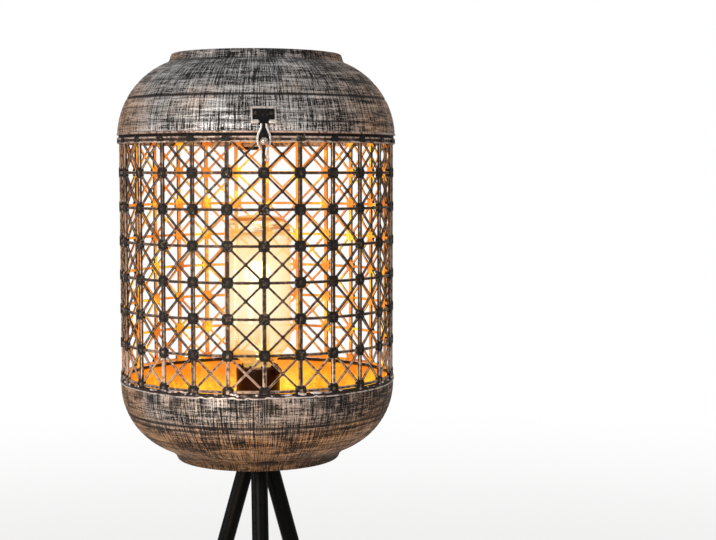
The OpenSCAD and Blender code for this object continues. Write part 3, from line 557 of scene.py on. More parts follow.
class Pattern:
    """A Geometry Nodes tree that repeats a piece, built up socket by socket."""

    def __init__(self, name: str) -> None:
        """Makes the tree with its geometry input and output.

        Args:
            name: the tree's name.
        """
        self.tree = bpy.data.node_groups.new(name, "GeometryNodeTree")
        self.tree.interface.new_socket("Piece", in_out="INPUT", socket_type="NodeSocketGeometry")
        self.tree.interface.new_socket("Result", in_out="OUTPUT", socket_type="NodeSocketGeometry")
        self.into = self.tree.nodes.new("NodeGroupInput")
        self.out = self.tree.nodes.new("NodeGroupOutput")
        self.values: dict[str, object] = {}

    @property
    def piece(self) -> bpy.types.NodeSocket:
        """The piece that the tree repeats."""
        return self.into.outputs[0]

    def input(self, name: str, kind: str, value: object) -> bpy.types.NodeSocket:
        """Adds a named input.

        Args:
            name: what it sets.
            kind: the socket's type, such as Float.
            value: its value on this piece.

        Returns:
            The socket inside the tree.
        """
        made = self.tree.interface.new_socket(name, in_out="INPUT", socket_type=f"NodeSocket{kind}")
        self.values[made.identifier] = value
        return next(s for s in self.into.outputs if s.identifier == made.identifier)

    def add(self, kind: str, settings: dict[str, object] | None = None,
            sockets: dict[object, object] | None = None, out: int | str = 0) -> bpy.types.NodeSocket:
        """Adds a node.

        Args:
            kind: the node's type without its GeometryNode prefix, or in full.
            settings: its own properties.
            sockets: links or values of its inputs.
            out: which output to give back.

        Returns:
            The output socket.
        """
        full = kind if kind.startswith(("ShaderNode", "FunctionNode")) else f"GeometryNode{kind}"
        node = self.tree.nodes.new(full)
        for key, value in (settings or {}).items():
            setattr(node, key, value)
        for key, value in (sockets or {}).items():
            if isinstance(value, bpy.types.NodeSocket):
                self.tree.links.new(value, node.inputs[key])
            else:
                node.inputs[key].default_value = value
        return node.outputs[out]

    def maths(self, operation: str, *values: object) -> bpy.types.NodeSocket:
        """Adds a Math node on sockets or numbers."""
        return self.add("ShaderNodeMath", {"operation": operation}, dict(enumerate(values)))

    def vector(self, **parts: object) -> bpy.types.NodeSocket:
        """Makes a vector from the parts x, y and z that are given."""
        return self.add("ShaderNodeCombineXYZ", {}, {key.upper(): value for key, value in parts.items()})

    def chance(self, low: float, high: float, seed: int) -> bpy.types.NodeSocket:
        """Adds a random number from low to high for each point."""
        return self.add("FunctionNodeRandomValue", {"data_type": "FLOAT"}, {2: low, 3: high, "Seed": seed}, 1)

    def turn(self, count: bpy.types.NodeSocket, start: object = 0.0) -> bpy.types.NodeSocket:
        """The angle of each of so many even steps round a circle.

        Args:
            count: how many steps there are.
            start: the first one's angle, or an offset for each.

        Returns:
            The angle.
        """
        share = self.maths("DIVIDE", self.add("InputIndex"), count)
        return self.maths("MULTIPLY_ADD", share, FULL, start)

    def ring(self, piece: bpy.types.NodeSocket, what: str, count: int, axis_y: float,
             start: float = 0.0) -> bpy.types.NodeSocket:
        """Sets copies of a piece round the lamp's axis.

        Args:
            piece: the piece, in its place at the front, with the axis at the origin.
            what: the name of the input that holds the count.
            count: how many copies there are.
            axis_y: the axis's place.
            start: the first one's angle.

        Returns:
            The copies.
        """
        number = self.input(what, "Int", count)
        centre = self.vector(y=self.input("Axis", "Float", axis_y))
        points = self.add("Points", {}, {"Count": number, "Position": centre})
        spin = self.vector(z=self.turn(number, start))
        return self.add("InstanceOnPoints", {}, {"Points": points, "Instance": piece, "Rotation": spin})

    def bake(self, source: bpy.types.Object, result: bpy.types.NodeSocket,
             materials: list[tuple[Material, str]]) -> bpy.types.Object:
        """Runs the tree on a piece and keeps the plain mesh that it makes.

        Args:
            source: the object that holds the piece to repeat.
            result: the instances.
            materials: each material, with the face attribute that picks its faces, or "" for all.

        Returns:
            The object, now with the finished mesh and no modifier.
        """
        flow = self.add("RealizeInstances", {}, {0: result})
        for material, attribute in materials:
            finish = self.input(f"Finish {material.name}", "Material", material)
            sockets = {"Geometry": flow, "Material": finish}
            if attribute:
                named = {"Name": attribute}
                sockets["Selection"] = self.add("InputNamedAttribute", {"data_type": "BOOLEAN"}, named)
            flow = self.add("SetMaterial", {}, sockets)
        self.tree.links.new(flow, self.out.inputs[0])
        modifier = source.modifiers.new("pattern", "NODES")
        modifier.node_group = self.tree
        for identifier, value in self.values.items():
            modifier[identifier] = value
        bpy.context.view_layer.update()
        graph = bpy.context.evaluated_depsgraph_get()
        mesh = bpy.data.meshes.new_from_object(source.evaluated_get(graph), depsgraph=graph)
        source.modifiers.remove(modifier)
        old = source.data
        source.data = mesh
        bpy.data.meshes.remove(old)
        return source


# ---- Mesh helpers ----


@dataclass(frozen=True)
class Wobble:
    """The unevenness that spinning and beating leave, only ever inwards."""

    depth: float
    seed: int

    def at(self, angle: float, z: float) -> float:
        """How far the skin lies inside its true radius.

        Args:
            angle: the place round the axis.
            z: the height.

        Returns:
            A distance from minus the depth to 0.
        """
        rng = random.Random(self.seed)
        total, weight = 0.0, 0.0
        for k in (2, 3, 5, 9, 14):
            phase, lift = rng.uniform(0, 6.28), rng.uniform(20, 70)
            total += math.sin(k * angle + phase + z * lift) / k
            weight += 1.0 / k
        return -self.depth * (0.5 + 0.5 * total / weight)


def turned(r: float, angle: float, z: float, axis_y: float = 0.0) -> Place:
    """A point at a radius and height, turned from the front to the right about an upright axis."""
    return (r * math.sin(angle), axis_y - r * math.cos(angle), z)


def smooth_path(points: list[Point], steps: int) -> list[Point]:
    """Runs a smooth curve through points.

    Args:
        points: the points.
        steps: how many spans each gap gets.

    Returns:
        The curve's points.
    """
    made = []
    for i in range(len(points) - 1):
        around = (points[max(i - 1, 0)], points[i], points[i + 1], points[min(i + 2, len(points) - 1)])
        for k in range(steps):
            t = k / steps
            made.append(tuple(0.5 * (2 * b + (c - a) * t + (2 * a - 5 * b + 4 * c - d) * t * t
                                     + (3 * b - a - 3 * c + d) * t**3) for a, b, c, d in zip(*around)))
    made.append(points[-1])
    return made


def groove_cut(grooves: Grooves, at: float, deepest: float, half: float) -> float:
    """How deep the turned grooves cut into a skin.

    Args:
        grooves: each groove's place, in millimetres, and its depth, up to 1.
        at: the place on the skin, in millimetres.
        deepest: the depth of a whole groove, in metres.
        half: half a groove's width, in millimetres.

    Returns:
        The depth of the cut.
    """
    return max(deepest * depth * max(0.0, 1.0 - abs(at - groove) / half) for groove, depth in grooves)


class Sheetwork:
    """Makes plain meshes from profiles, bars and plates."""

    @staticmethod
    def object_from(name: str, bm: bmesh.types.BMesh, body: str, materials: list[Material],
                    sharp: float = 35.0, replaces: tuple[str, ...] = (), slot: str = "") -> bpy.types.Object:
        """Turns a bmesh into a piece that rides on a body.

        Args:
            name: the piece's name.
            bm: its mesh, in metres, in the shared frame.
            body: the CAD body that it rides on, or "" for a piece that isn't finished yet.
            materials: its materials by index.
            sharp: edges steeper than this many degrees stay sharp.
            replaces: the CAD nodes that it stands for.
            slot: the record's material slot; not used.

        Returns:
            The object.
        """
        mesh = bpy.data.meshes.new(name)
        bm.to_mesh(mesh)
        bm.free()
        for material in materials:
            mesh.materials.append(material)
        mesh.shade_smooth()
        mesh.set_sharp_from_angle(angle=math.radians(sharp))
        obj = bpy.data.objects.new(name, mesh)
        bpy.context.scene.collection.objects.link(obj)
        if body:
            Sheetwork.settle(obj, body, replaces, slot)
        return obj

    @staticmethod
    def settle(obj: bpy.types.Object, body: str, replaces: tuple[str, ...], slot: str) -> None:
        """Ties a finished piece to its body and hides the CAD nodes that it stands for."""
        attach(obj, body)
        if replaces:
            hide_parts(*replaces)
        log.info("%s: %d faces on %s", obj.name, len(obj.data.polygons), body)

    @staticmethod
    def join(bm: bmesh.types.BMesh, rings: Rings, closed: bool = False,
             index: int = 0) -> list[bmesh.types.BMFace]:
        """Lays a skin over rings of points.

        Args:
            bm: the mesh to add to.
            rings: the rings, each with as many points as the next.
            closed: whether the last ring joins the first.
            index: the skin's material.

        Returns:
            The skin's faces.
        """
        faces = []
        for here, there in zip(rings, rings[1:] + rings[:1] if closed else rings[1:]):
            for k in range(len(here)):
                n = (k + 1) % len(here)
                faces.append(bm.faces.new((here[k], here[n], there[n], there[k])))
                faces[-1].material_index = index
        return faces

    @staticmethod
    def solid(bm: bmesh.types.BMesh, rings: Rings, index: int = 0) -> list[bmesh.types.BMFace]:
        """Lays a skin over rings and closes both ends, with the end at the first ring last in the list."""
        faces = Sheetwork.join(bm, rings, index=index)
        faces += [bm.faces.new(rings[-1]), bm.faces.new(rings[0][::-1])]
        for face in faces[-2:]:
            face.material_index = index
        return faces

    @staticmethod
    def lathe(bm: bmesh.types.BMesh, profile: list[Point], axis_y: float, turns: int,
              wobble: Wobble | None = None, inner_from: int = 10**6) -> None:
        """Spins a closed profile round the lamp's axis.

        Args:
            bm: the mesh to add to.
            profile: radius and height of each point, in metres, counter-clockwise with the radius to the right.
            axis_y: the axis's place.
            turns: how many steps the circle has.
            wobble: the small unevenness of hand work.
            inner_from: spans from this one on get the second material.
        """
        angles = [FULL * k / turns for k in range(turns)]
        rings = [[bm.verts.new(turned(r + (wobble.at(a, z) if wobble else 0.0), a, z, axis_y)) for a in angles]
                 for r, z in profile]
        for i, face in enumerate(Sheetwork.join(bm, rings, closed=True)):
            face.material_index = int(inner_from <= i // turns < len(rings) - 1)
        Sheetwork.outward(bm)

    @staticmethod
    def outward(bm: bmesh.types.BMesh) -> None:
        """Merges doubles and turns all faces outwards."""
        bmesh.ops.remove_doubles(bm, verts=bm.verts, dist=1e-7)
        bmesh.ops.recalc_face_normals(bm, faces=bm.faces)

    @staticmethod
    def sweep(bm: bmesh.types.BMesh, points: list[Vector], section: list[Point], up: Vector) -> None:
        """Sweeps a closed section along a path.

        Args:
            bm: the mesh to add to.
            points: the points to follow.
            section: the section's points, across the path and along up.
            up: the direction that the section's second number follows.
        """
        rings = []
        for before, p, after in zip(points[:1] + points, points, points[1:] + points[-1:]):
            across = (after - before).normalized().cross(up).normalized()
            rings.append([bm.verts.new(p + across * a + up * b) for a, b in section])
        Sheetwork.solid(bm, rings)

    @staticmethod
    def round_section(width: float, depth: float, corner: float, steps: int = 3) -> list[Point]:
        """A rectangle with round corners, as a closed section."""
        made = []
        for cx, cy, start in ((1, 1, 0), (-1, 1, 90), (-1, -1, 180), (1, -1, 270)):
            x, y = cx * (width / 2 - corner), cy * (depth / 2 - corner)
            for i in range(steps + 1):
                a = math.radians(start + 90.0 * i / steps)
                made.append((x + corner * math.cos(a), y + corner * math.sin(a)))
        return made

    @staticmethod
    def block(size: Place, at: Place) -> bmesh.types.BMesh:
        """A small block with rounded edges, such as a plate or a lug."""
        bm = bmesh.new()
        bmesh.ops.create_cube(bm, size=1.0)
        bmesh.ops.scale(bm, vec=size, verts=bm.verts)
        bmesh.ops.translate(bm, vec=at, verts=bm.verts)
        bmesh.ops.bevel(bm, geom=bm.edges[:], offset=0.5 * MM, segments=2, affect="EDGES")
        return bm


# ---- The lamp ----


@dataclass
class Lamp:
    """Places and sizes that the sub-assemblies share, read from the frame, in metres."""

    lid: Corners = field(default_factory=lambda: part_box("lid_dome"))
    bowl: Corners = field(default_factory=lambda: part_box("bowl"))
    band: Corners = field(default_factory=lambda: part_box("top_band"))
    rim: Corners = field(default_factory=lambda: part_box("rim_ring"))
    ribs: int = 25
    rows: int = 8
    cell_h: float = 28.2 * MM
    shade_r: float = 115.0 * MM

    @property
    def axis_y(self) -> float:
        """The axis's place, from the back of the bowl, which is round."""
        return self.bowl[1].y - self.bowl_r

    @property
    def bowl_r(self) -> float:
        """The bowl's radius at its rim."""
        return self.bowl[1].x

    @property
    def lip_r(self) -> float:
        """The lid's largest radius."""
        return self.lid[1].x

    @property
    def first_row(self) -> float:
        """The height of the lowest row of node plates."""
        return self.rim[1].z + 1.4 * MM


@dataclass
class Lid:
    """The spun lid with its rolled neck. The grooves are heights above the lip, in millimetres."""

    lamp: Lamp
    arc: float = 67.0 * MM
    drop: float = 1.9 * MM
    flare: float = 0.9 * MM
    sheet: float = 1.2 * MM
    neck_r: float = 72.5 * MM
    turns: int = 288
    grooves: Grooves = ((30.0, 1.0), (43.0, 0.6), (16.5, 0.4), (20.5, 0.35), (9.0, 0.35))

    @property
    def arc_r(self) -> float:
        """Distance from the axis to the centre of the dome's curve."""
        return self.lamp.lip_r - self.flare - self.arc

    def skin(self, inset: float, steps: int = 80) -> list[Point]:
        """The dome's curve from its lip up to the neck.

        Args:
            inset: how far inside the outer skin it lies.
            steps: how many spans it has.

        Returns:
            Points of radius and height.
        """
        z0 = self.lamp.lid[0].z - self.drop
        radius = self.arc - inset
        end = math.acos((self.neck_r - 2.0 * MM - self.arc_r) / radius)
        made = []
        for i in range(steps + 1):
            a = end * i / steps
            rise = (radius * math.sin(a) - self.drop) / MM
            cut = 0.0 if inset else groove_cut(self.grooves, rise, 0.55 * MM, 1.1)
            made.append((self.arc_r + (radius - cut) * math.cos(a), z0 + (radius - cut) * math.sin(a)))
        return made

    def dress(self) -> None:
        """Makes the dome and the neck and gives them their finishes."""
        lamp = self.lamp
        z0, lip_r = lamp.lid[0].z, lamp.lip_r
        levels = tuple((z0 + rise * MM - self.arc_r
                        - math.sqrt(self.arc**2 - (rise * MM + self.drop) ** 2), depth)
                       for rise, depth in self.grooves)
        # painted shade towards the lid's top, above top_shade_z
        silver = RubbedSilver("silver_on_lid", lamp.axis_y, Lean.LID, levels, top_shade_z=1.008).build()
        # painted bulb light glows on the lid's inner faces
        inside = GiltAndPaintedGlow("gilt_and_painted_glow_in_lid", lamp.axis_y, patchy=0.25).build()
        # the lip's bead: painted highlight along it, with wear patches
        bead = AgedMetal("lip_bead_painted_highlight", (0.10, 0.065, 0.05), (0.62, 0.46, 0.38), 1.0, 0.5, 0.4, 340.0,
                         0.0002).build()
        seat = lamp.band[1].z + 0.06 * MM
        lip = [(lip_r - 3.2 * MM, seat), (lip_r - 1.6 * MM, seat)]
        lip += [(lip_r - a * MM, z0 + b * MM)
                for a, b in ((0.75, -0.05), (0.4, 0.45), (0.5, 1.0), (1.0, 1.4), (1.25, 2.0))]
        outer = [p for p in self.skin(0.0) if p[1] > z0 + 2.6 * MM]
        inner = [p for p in self.skin(self.sheet) if p[1] > z0 + 0.9 * MM]
        inner = [(lip_r - 3.2 * MM, z0 + 0.7 * MM)] + inner
        bm = bmesh.new()
        Sheetwork.lathe(bm, lip + outer + inner[::-1], lamp.axis_y, self.turns, Wobble(0.25 * MM, 4),
                        inner_from=len(lip) + len(outer))
        for face in bm.faces:
            middle = face.calc_center_median()
            out = math.hypot(middle.x, middle.y - lamp.axis_y)
            # the lip's rolled edge takes the painted highlight
            if middle.z < z0 + 1.2 * MM and out > lip_r - 1.4 * MM:
                face.material_index = 2
        Sheetwork.object_from("lid_skin", bm, "lid", [silver, inside, bead], 32.0, ("lid_dome",), "silver_leaf")
        self.neck()

    def neck(self) -> None:
        """Makes the collar that the warm air leaves through."""
        lo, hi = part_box("lid_neck")
        z0 = lo.z - 0.4 * MM
        r, high = hi.x / MM, (hi.z - z0) / MM
        points = [(68.4, 0.2), (r - 0.1, 0.2), (r - 0.6, 0.75), (r - 1.0, 1.4), (r - 1.3, 2.2), (r - 1.7, 3.6),
                  (r - 2.1, 5.0), (r - 2.4, high - 1.5), (r - 2.7, high - 0.6), (r - 3.2, high - 0.1),
                  (r - 3.8, high), (r - 4.3, high - 0.25), (r - 4.6, high - 0.9), (r - 4.5, high - 1.8),
                  (r - 4.0, 3.4), (r - 3.9, 1.8), (68.4, 1.4)]
        bm = bmesh.new()
        Sheetwork.lathe(bm, [(a * MM, z0 + b * MM) for a, b in points], self.lamp.axis_y, self.turns // 2,
                        Wobble(0.2 * MM, 9))
        # reach draws the painted warm reflection of the sides in towards the neck's middle
        finish = RubbedSilver("silver_on_neck", self.lamp.axis_y, Lean.LID, warmth=0.1, reach=1.55, thin=0.02)
        Sheetwork.object_from("lid_collar", bm, "lid", [finish.build()], 40.0, ("lid_neck",), "dark_bronze")


@dataclass
class Bowl:
    """The spun bowl with its rim and the ring under it. The grooves are drops from the curve's middle."""

    lamp: Lamp
    arc: float = 58.0 * MM
    straight: float = 3.0 * MM
    sheet: float = 1.2 * MM
    turns: int = 288
    grooves: Grooves = ((22.0, 0.9), (26.5, 0.8), (18.5, 0.4), (31.0, 0.35), (40.0, 0.6), (44.5, 0.5))

    @property
    def arc_at(self) -> Point:
        """Radius and height of the centre of the bowl's curve."""
        return (self.lamp.bowl_r - self.arc, self.lamp.bowl[1].z - self.straight)

    def skin(self, inset: float, steps: int = 90) -> list[Point]:
        """The bowl's curve from the axis out and up to its rim.

        Args:
            inset: how far inside the outer skin it lies.
            steps: how many spans it has.

        Returns:
            Points of radius and height.
        """
        top, bottom = self.lamp.bowl[1].z, self.lamp.bowl[0].z
        cr, cz = self.arc_at
        radius = self.arc - inset
        start = math.asin(min(1.0, (cz - bottom - inset) / radius))
        made = [(2.0 * MM, bottom + inset), (30.0 * MM, bottom + inset)]
        for i in range(steps + 1):
            a = start * (1 - i / steps)
            cut = 0.0 if inset else groove_cut(self.grooves, radius * math.sin(a) / MM, 0.5 * MM, 1.0)
            made.append((cr + (radius - cut) * math.cos(a), cz - (radius - cut) * math.sin(a)))
        made.append((self.lamp.bowl_r - inset, top))
        return made

    def dress(self) -> None:
        """Makes the bowl, its rim and its ring, and gives them their finishes."""
        lamp = self.lamp
        top = lamp.bowl[1].z
        cr, cz = self.arc_at
        levels = tuple((cz - drop * MM + cr + math.sqrt(self.arc**2 - (drop * MM) ** 2), depth)
                       for drop, depth in self.grooves)
        # painted warm reflection below warm_reflection_z, and painted shade in patches just under the rim at
        # rim_shade_z
        silver = RubbedSilver("silver_on_bowl", lamp.axis_y, Lean.BOWL, levels, warm_reflection_z=0.716, pale=0.86,
                              warmth=0.12, rim_shade_z=top, thin=0.022).build()
        # painted bulb light: the bowl's inside glows, yellower below painted_glow_z
        inside = GiltAndPaintedGlow("gilt_and_painted_glow_in_bowl", lamp.axis_y, (0.95, 0.46, 0.05), (0.72, 0.24, 0.02),
                      painted_glow_z=top - 2.0 * MM, patchy=0.4).build()
        outer, inner = self.skin(0.0), self.skin(self.sheet)
        bm = bmesh.new()
        Sheetwork.lathe(bm, outer + inner[::-1], lamp.axis_y, self.turns, Wobble(0.25 * MM, 7), len(outer))
        Sheetwork.object_from("bowl_skin", bm, "stand", [silver, inside], 32.0, ("bowl",), "silver_leaf")
        self.rim()
        self.foot_ring()

    def rim(self) -> None:
        """Makes the rough brazed bead on the bowl's rim, with its lumps."""
        low, high = self.lamp.rim
        rng = random.Random(21)
        waves = [(k, rng.uniform(0, 6.28), rng.uniform(0.2, 1.0) / math.sqrt(k))
                 for k in (3, 5, 8, 13, 21, 34, 55, 89)]
        bm = bmesh.new()
        rings, turns, sides = [], 480, 10
        for k in range(turns):
            a = FULL * k / turns
            swell = sum(w * math.sin(n * a + p) for n, p, w in waves) / 3.0
            ring = []
            for i in range(sides):
                t = math.radians(-90 + 360 * i / sides)
                r = high.x - 2.0 * MM - 0.15 * MM * (1 + swell) + 1.95 * MM * math.cos(t)
                z = (low.z + high.z) / 2 - 0.1 * MM + (1.45 + 0.12 * swell) * MM * math.sin(t)
                ring.append(bm.verts.new(turned(r, a, z, self.lamp.axis_y)))
            rings.append(ring)
        Sheetwork.join(bm, rings, closed=True)
        self.thin_bead(bm)
        self.smears(bm)
        Sheetwork.outward(bm)
        dark = AgedMetal("rim_dark", (0.022, 0.015, 0.013), (0.36, 0.27, 0.23), 0.35, 0.45, 0.42, 210.0,
                         0.0006, 0.4)
        pale = AgedMetal("rim_braze", (0.20, 0.165, 0.155), (0.72, 0.63, 0.60), 1.1, 0.5, 0.34, 260.0,
                         0.0005, 0.4)
        braze = pale.build()
        Sheetwork.object_from("rim_bead", bm, "stand", [dark.build(), braze], 60.0, ("rim_ring",), "rim_metal")
        self.lumps(braze)

    def thin_bead(self, bm: bmesh.types.BMesh) -> None:
        """Adds the thin pale bead that runs round the bowl just under its rim.

        Args:
            bm: the rim's mesh.
        """
        lamp = self.lamp
        rng = random.Random(5)
        bumps = [(rng.uniform(0, FULL), rng.uniform(0.4, 1.3), rng.uniform(0.012, 0.03)) for _ in range(26)]
        rings, turns, sides = [], 600, 8
        for k in range(turns):
            a = FULL * k / turns
            lift = sum(h * math.exp(-((math.sin((a - at) / 2) * 2 / wide) ** 2)) for at, h, wide in bumps)
            wave = 0.25 * math.sin(5 * a + 1.0) + 0.15 * math.sin(11 * a)
            z = lamp.bowl[1].z + (-0.75 + wave + 0.8 * lift) * MM
            rings.append([bm.verts.new(turned(lamp.bowl_r - 0.1 * MM + 0.65 * MM * math.cos(t), a,
                                              z + (0.6 + 0.25 * lift) * MM * math.sin(t), lamp.axis_y))
                          for t in (FULL * i / sides for i in range(sides))])
        Sheetwork.join(bm, rings, closed=True, index=1)

    def smears(self, bm: bmesh.types.BMesh) -> None:
        """Adds the flat smears of braze that hold the lattice's lowest plates.

        Args:
            bm: the rim's mesh.
        """
        lamp = self.lamp
        rng = random.Random(12)
        for degrees in (-49, -43, -38, -33, -12, 9, 15, 21, 26, 74, 101, 137, 171, 196, 228, 251):
            made = bmesh.ops.create_icosphere(bm, subdivisions=2, radius=1.0)
            wide, tall = rng.uniform(3.4, 6.2) * MM, rng.uniform(0.8, 1.25) * MM
            tilt = rng.uniform(-0.12, 0.12)
            z = lamp.rim[1].z + rng.uniform(-1.2, 0.2) * MM
            for v in made["verts"]:
                along, up = v.co.x * wide, v.co.y * 0.8 * MM
                rise = v.co.z * tall + along * tilt
                v.co = turned(lamp.rim[1].x - 0.85 * MM + up, math.radians(degrees) + along / lamp.bowl_r,
                              z + rise, lamp.axis_y)
            for face in {f for v in made["verts"] for f in v.link_faces}:
                face.material_index = 1

    def lumps(self, finish: Material) -> None:
        """Scatters lumps of braze round the rim.

        Args:
            finish: their material.
        """
        lamp = self.lamp
        bm = bmesh.new()
        bmesh.ops.create_icosphere(bm, subdivisions=1, radius=1.0)
        seed = Sheetwork.object_from("rim_lumps", bm, "", [finish], 180.0)
        p = Pattern("braze lumps")
        count = p.input("Lumps", "Int", 64)
        radius = p.input("Radius", "Float", lamp.rim[1].x - 1.0 * MM)
        height = p.input("Height", "Float", lamp.rim[1].z - 0.9 * MM)
        centre = p.input("Axis", "Float", lamp.axis_y)
        turn = p.turn(count, p.chance(-0.06, 0.06, 3))
        x = p.maths("MULTIPLY", p.maths("SINE", turn), radius)
        back = p.maths("MULTIPLY", p.maths("COSINE", turn), radius)
        where = p.vector(x=x, y=p.maths("SUBTRACT", centre, back),
                         z=p.maths("ADD", height, p.chance(-0.0008, 0.0006, 8)))
        size = p.add("FunctionNodeRandomValue", {"data_type": "FLOAT_VECTOR"},
                     {0: (0.0010, 0.0008, 0.0005), 1: (0.0030, 0.0012, 0.0013), "Seed": 5}, 0)
        points = p.add("Points", {}, {"Count": count, "Position": where})
        result = p.add("InstanceOnPoints", {}, {"Points": points, "Instance": p.piece,
                                                "Rotation": p.vector(z=turn), "Scale": size})
        Sheetwork.settle(p.bake(seed, result, [(finish, "")]), "stand", (), "rim_metal")

    def foot_ring(self) -> None:
        """Makes the turned ring under the bowl."""
        lo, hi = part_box("base_ring")
        r, z0, z1 = hi.x / MM, lo.z / MM, hi.z / MM
        points = [(r - 8.0, z1), (r - 8.0, z0 + 0.5), (r - 7.7, z0), (r - 6.6, z0), (r - 6.15, z0 + 0.35),
                  (r - 6.0, z0 + 0.95), (r - 5.5, z0 + 1.5), (r - 5.2, z0 + 2.9), (r - 4.1, z0 + 4.4),
                  (r - 2.7, z0 + 5.6), (r - 1.9, z0 + 6.6), (r - 1.3, z0 + 7.2), (r - 0.5, z0 + 7.5),
                  (r, z0 + 8.2), (r - 0.2, z1 - 0.2), (r - 0.9, z1)]
        bm = bmesh.new()
        Sheetwork.lathe(bm, [(a * MM, b * MM) for a, b in points], self.lamp.axis_y, 192, Wobble(0.2 * MM, 15))
        finish = RubbedSilver("silver_on_foot_ring", self.lamp.axis_y, Lean.BOWL, pale=0.42, warmth=1.0,
                              thin=0.03)
        Sheetwork.object_from("bowl_foot_ring", bm, "stand", [finish.build()], 40.0, ("base_ring",),
                              "dark_bronze")


@dataclass
class Shade:
    """The open lattice and the band round its top."""

    lamp: Lamp
    post_w: float = 3.1 * MM
    rail_h: float = 2.2 * MM
    brace_w: float = 1.75 * MM
    plate_w: float = 8.8 * MM
    depth: float = 2.8 * MM

    def on_wall(self, bm: bmesh.types.BMesh, s: float, z: float, r: float) -> bmesh.types.BMVert:
        """Adds a point at a length round the shade, a height and a radius."""
        return bm.verts.new(turned(r, s / self.lamp.shade_r, z))

    def bar(self, bm: bmesh.types.BMesh, end: Point, width: float, back: float, face: float, edge: float,
            start: Point = (0.0, 0.0)) -> None:
        """Adds one bar of a cell, bevelled along its face.

        Args:
            bm: the cell.
            end: length round the shade, and height, of the bar's end.
            width: the bar's width.
            back: how deep its inner face lies.
            face: how deep its outer face lies.
            edge: the bevel.
            start: the same as end for its start.
        """
        along = Vector((end[0] - start[0], end[1] - start[1])).normalized()
        back, face = self.lamp.shade_r - back, self.lamp.shade_r - face
        section = [(-width / 2, back), (-width / 2, face - edge), (-width / 2 + edge, face),
                   (width / 2 - edge, face), (width / 2, face - edge), (width / 2, back)]
        rings = [[self.on_wall(bm, s - along.y * a, z + along.x * a, r) for a, r in section]
                 for s, z in (start, end)]
        faces = Sheetwork.solid(bm, rings)
        faces[5][bm.faces.layers.bool.get("inside")] = True
        # the bevels along the bar take the painted edge highlight
        for k in (1, 3):
            faces[k][bm.faces.layers.bool.get("edge")] = True

    def knot(self, bm: bmesh.types.BMesh, at: Point) -> None:
        """Adds the six-sided knot where the braces cross, with a bevelled, crowned face.

        Args:
            bm: the cell.
            at: length round the shade, and height, of its middle.
        """
        sides, edge, crown = 6, 0.5 * MM, 0.1 * MM
        half = 1.5 * MM / math.cos(math.pi / sides)
        back, face = self.lamp.shade_r - 2.35 * MM, self.lamp.shade_r - 0.6 * MM
        turns = [FULL * (k + 0.5) / sides for k in range(sides)]
        rings = [[self.on_wall(bm, at[0] + size * math.cos(a), at[1] + size * math.sin(a), r) for a in turns]
                 for size, r in ((half, back), (half, face - edge), (half - edge * 1.1, face))]
        Sheetwork.join(bm, rings)
        tip = self.on_wall(bm, at[0], at[1], face + crown)
        for k in range(sides):
            bm.faces.new((rings[2][k], rings[2][(k + 1) % sides], tip))
        bm.faces.new(rings[0][::-1])[bm.faces.layers.bool.get("inside")] = True

    def plate(self, bm: bmesh.types.BMesh) -> None:
        """Adds the node plate: a square with cut corners, pressed in a little in its middle.

        Args:
            bm: the cell.
        """
        half, cut, r = self.plate_w / 2, 2.0 * MM, self.lamp.shade_r
        outline = [(half, half - cut), (half - cut, half), (-half + cut, half), (-half, half - cut),
                   (-half, -half + cut), (-half + cut, -half), (half - cut, -half), (half, -half + cut)]
        steps = ((1.0, self.depth), (1.0, 0.75 * MM), (0.86, 0.12 * MM), (0.55, 0.05 * MM), (0.36, 0.42 * MM))
        rings = [[self.on_wall(bm, a * share, b * share, r - deep) for a, b in outline]
                 for share, deep in steps]
        *front, back = Sheetwork.solid(bm, rings)
        for face in front:
            face[bm.faces.layers.bool.get("plate")] = True
        back[bm.faces.layers.bool.get("inside")] = True

    def cell(self) -> bmesh.types.BMesh:
        """One cell: a node plate with half of every bar that leaves it."""
        lamp = self.lamp
        half_w, half_h = math.pi * lamp.shade_r / lamp.ribs, lamp.cell_h / 2
        bm = bmesh.new()
        for name in ("plate", "inside", "edge"):
            bm.faces.layers.bool.new(name)
        self.bar(bm, (0, half_h), self.post_w, 2.6 * MM, 0.4 * MM, 0.5 * MM, start=(0, -half_h))
        for side in (-1, 1):
            self.bar(bm, (side * half_w, 0), self.rail_h, 2.4 * MM, 0.75 * MM, 0.45 * MM)
            for way in (-1, 1):
                self.bar(bm, (side * half_w, way * half_h), self.brace_w, 2.3 * MM, 0.85 * MM, 0.4 * MM)
        self.plate(bm)
        self.knot(bm, (half_w, half_h))
        bmesh.ops.recalc_face_normals(bm, faces=bm.faces)
        return bm

    def dress(self) -> None:
        """Makes the lattice and the band, and gives them their finishes."""
        lamp = self.lamp
        bars = LatticeBar("lattice_bar", (0.030, 0.019, 0.013), (0.22, 0.14, 0.090), (0.40, 0.29, 0.23),
                          0.07).build()
        # painted edge highlight on the bars' bevels, paler than the bars
        edges = LatticeBar("lattice_edge_highlight", (0.10, 0.065, 0.045), (0.42, 0.29, 0.20), (0.58, 0.43, 0.35), 0.08,
                           (0.42, 0.60)).build()
        plates = AgedMetal("lattice_plate", (0.008, 0.0068, 0.0062), (0.21, 0.165, 0.14), 0.42, 0.4, 0.45,
                           560.0, 0.0009, 0.35).build()
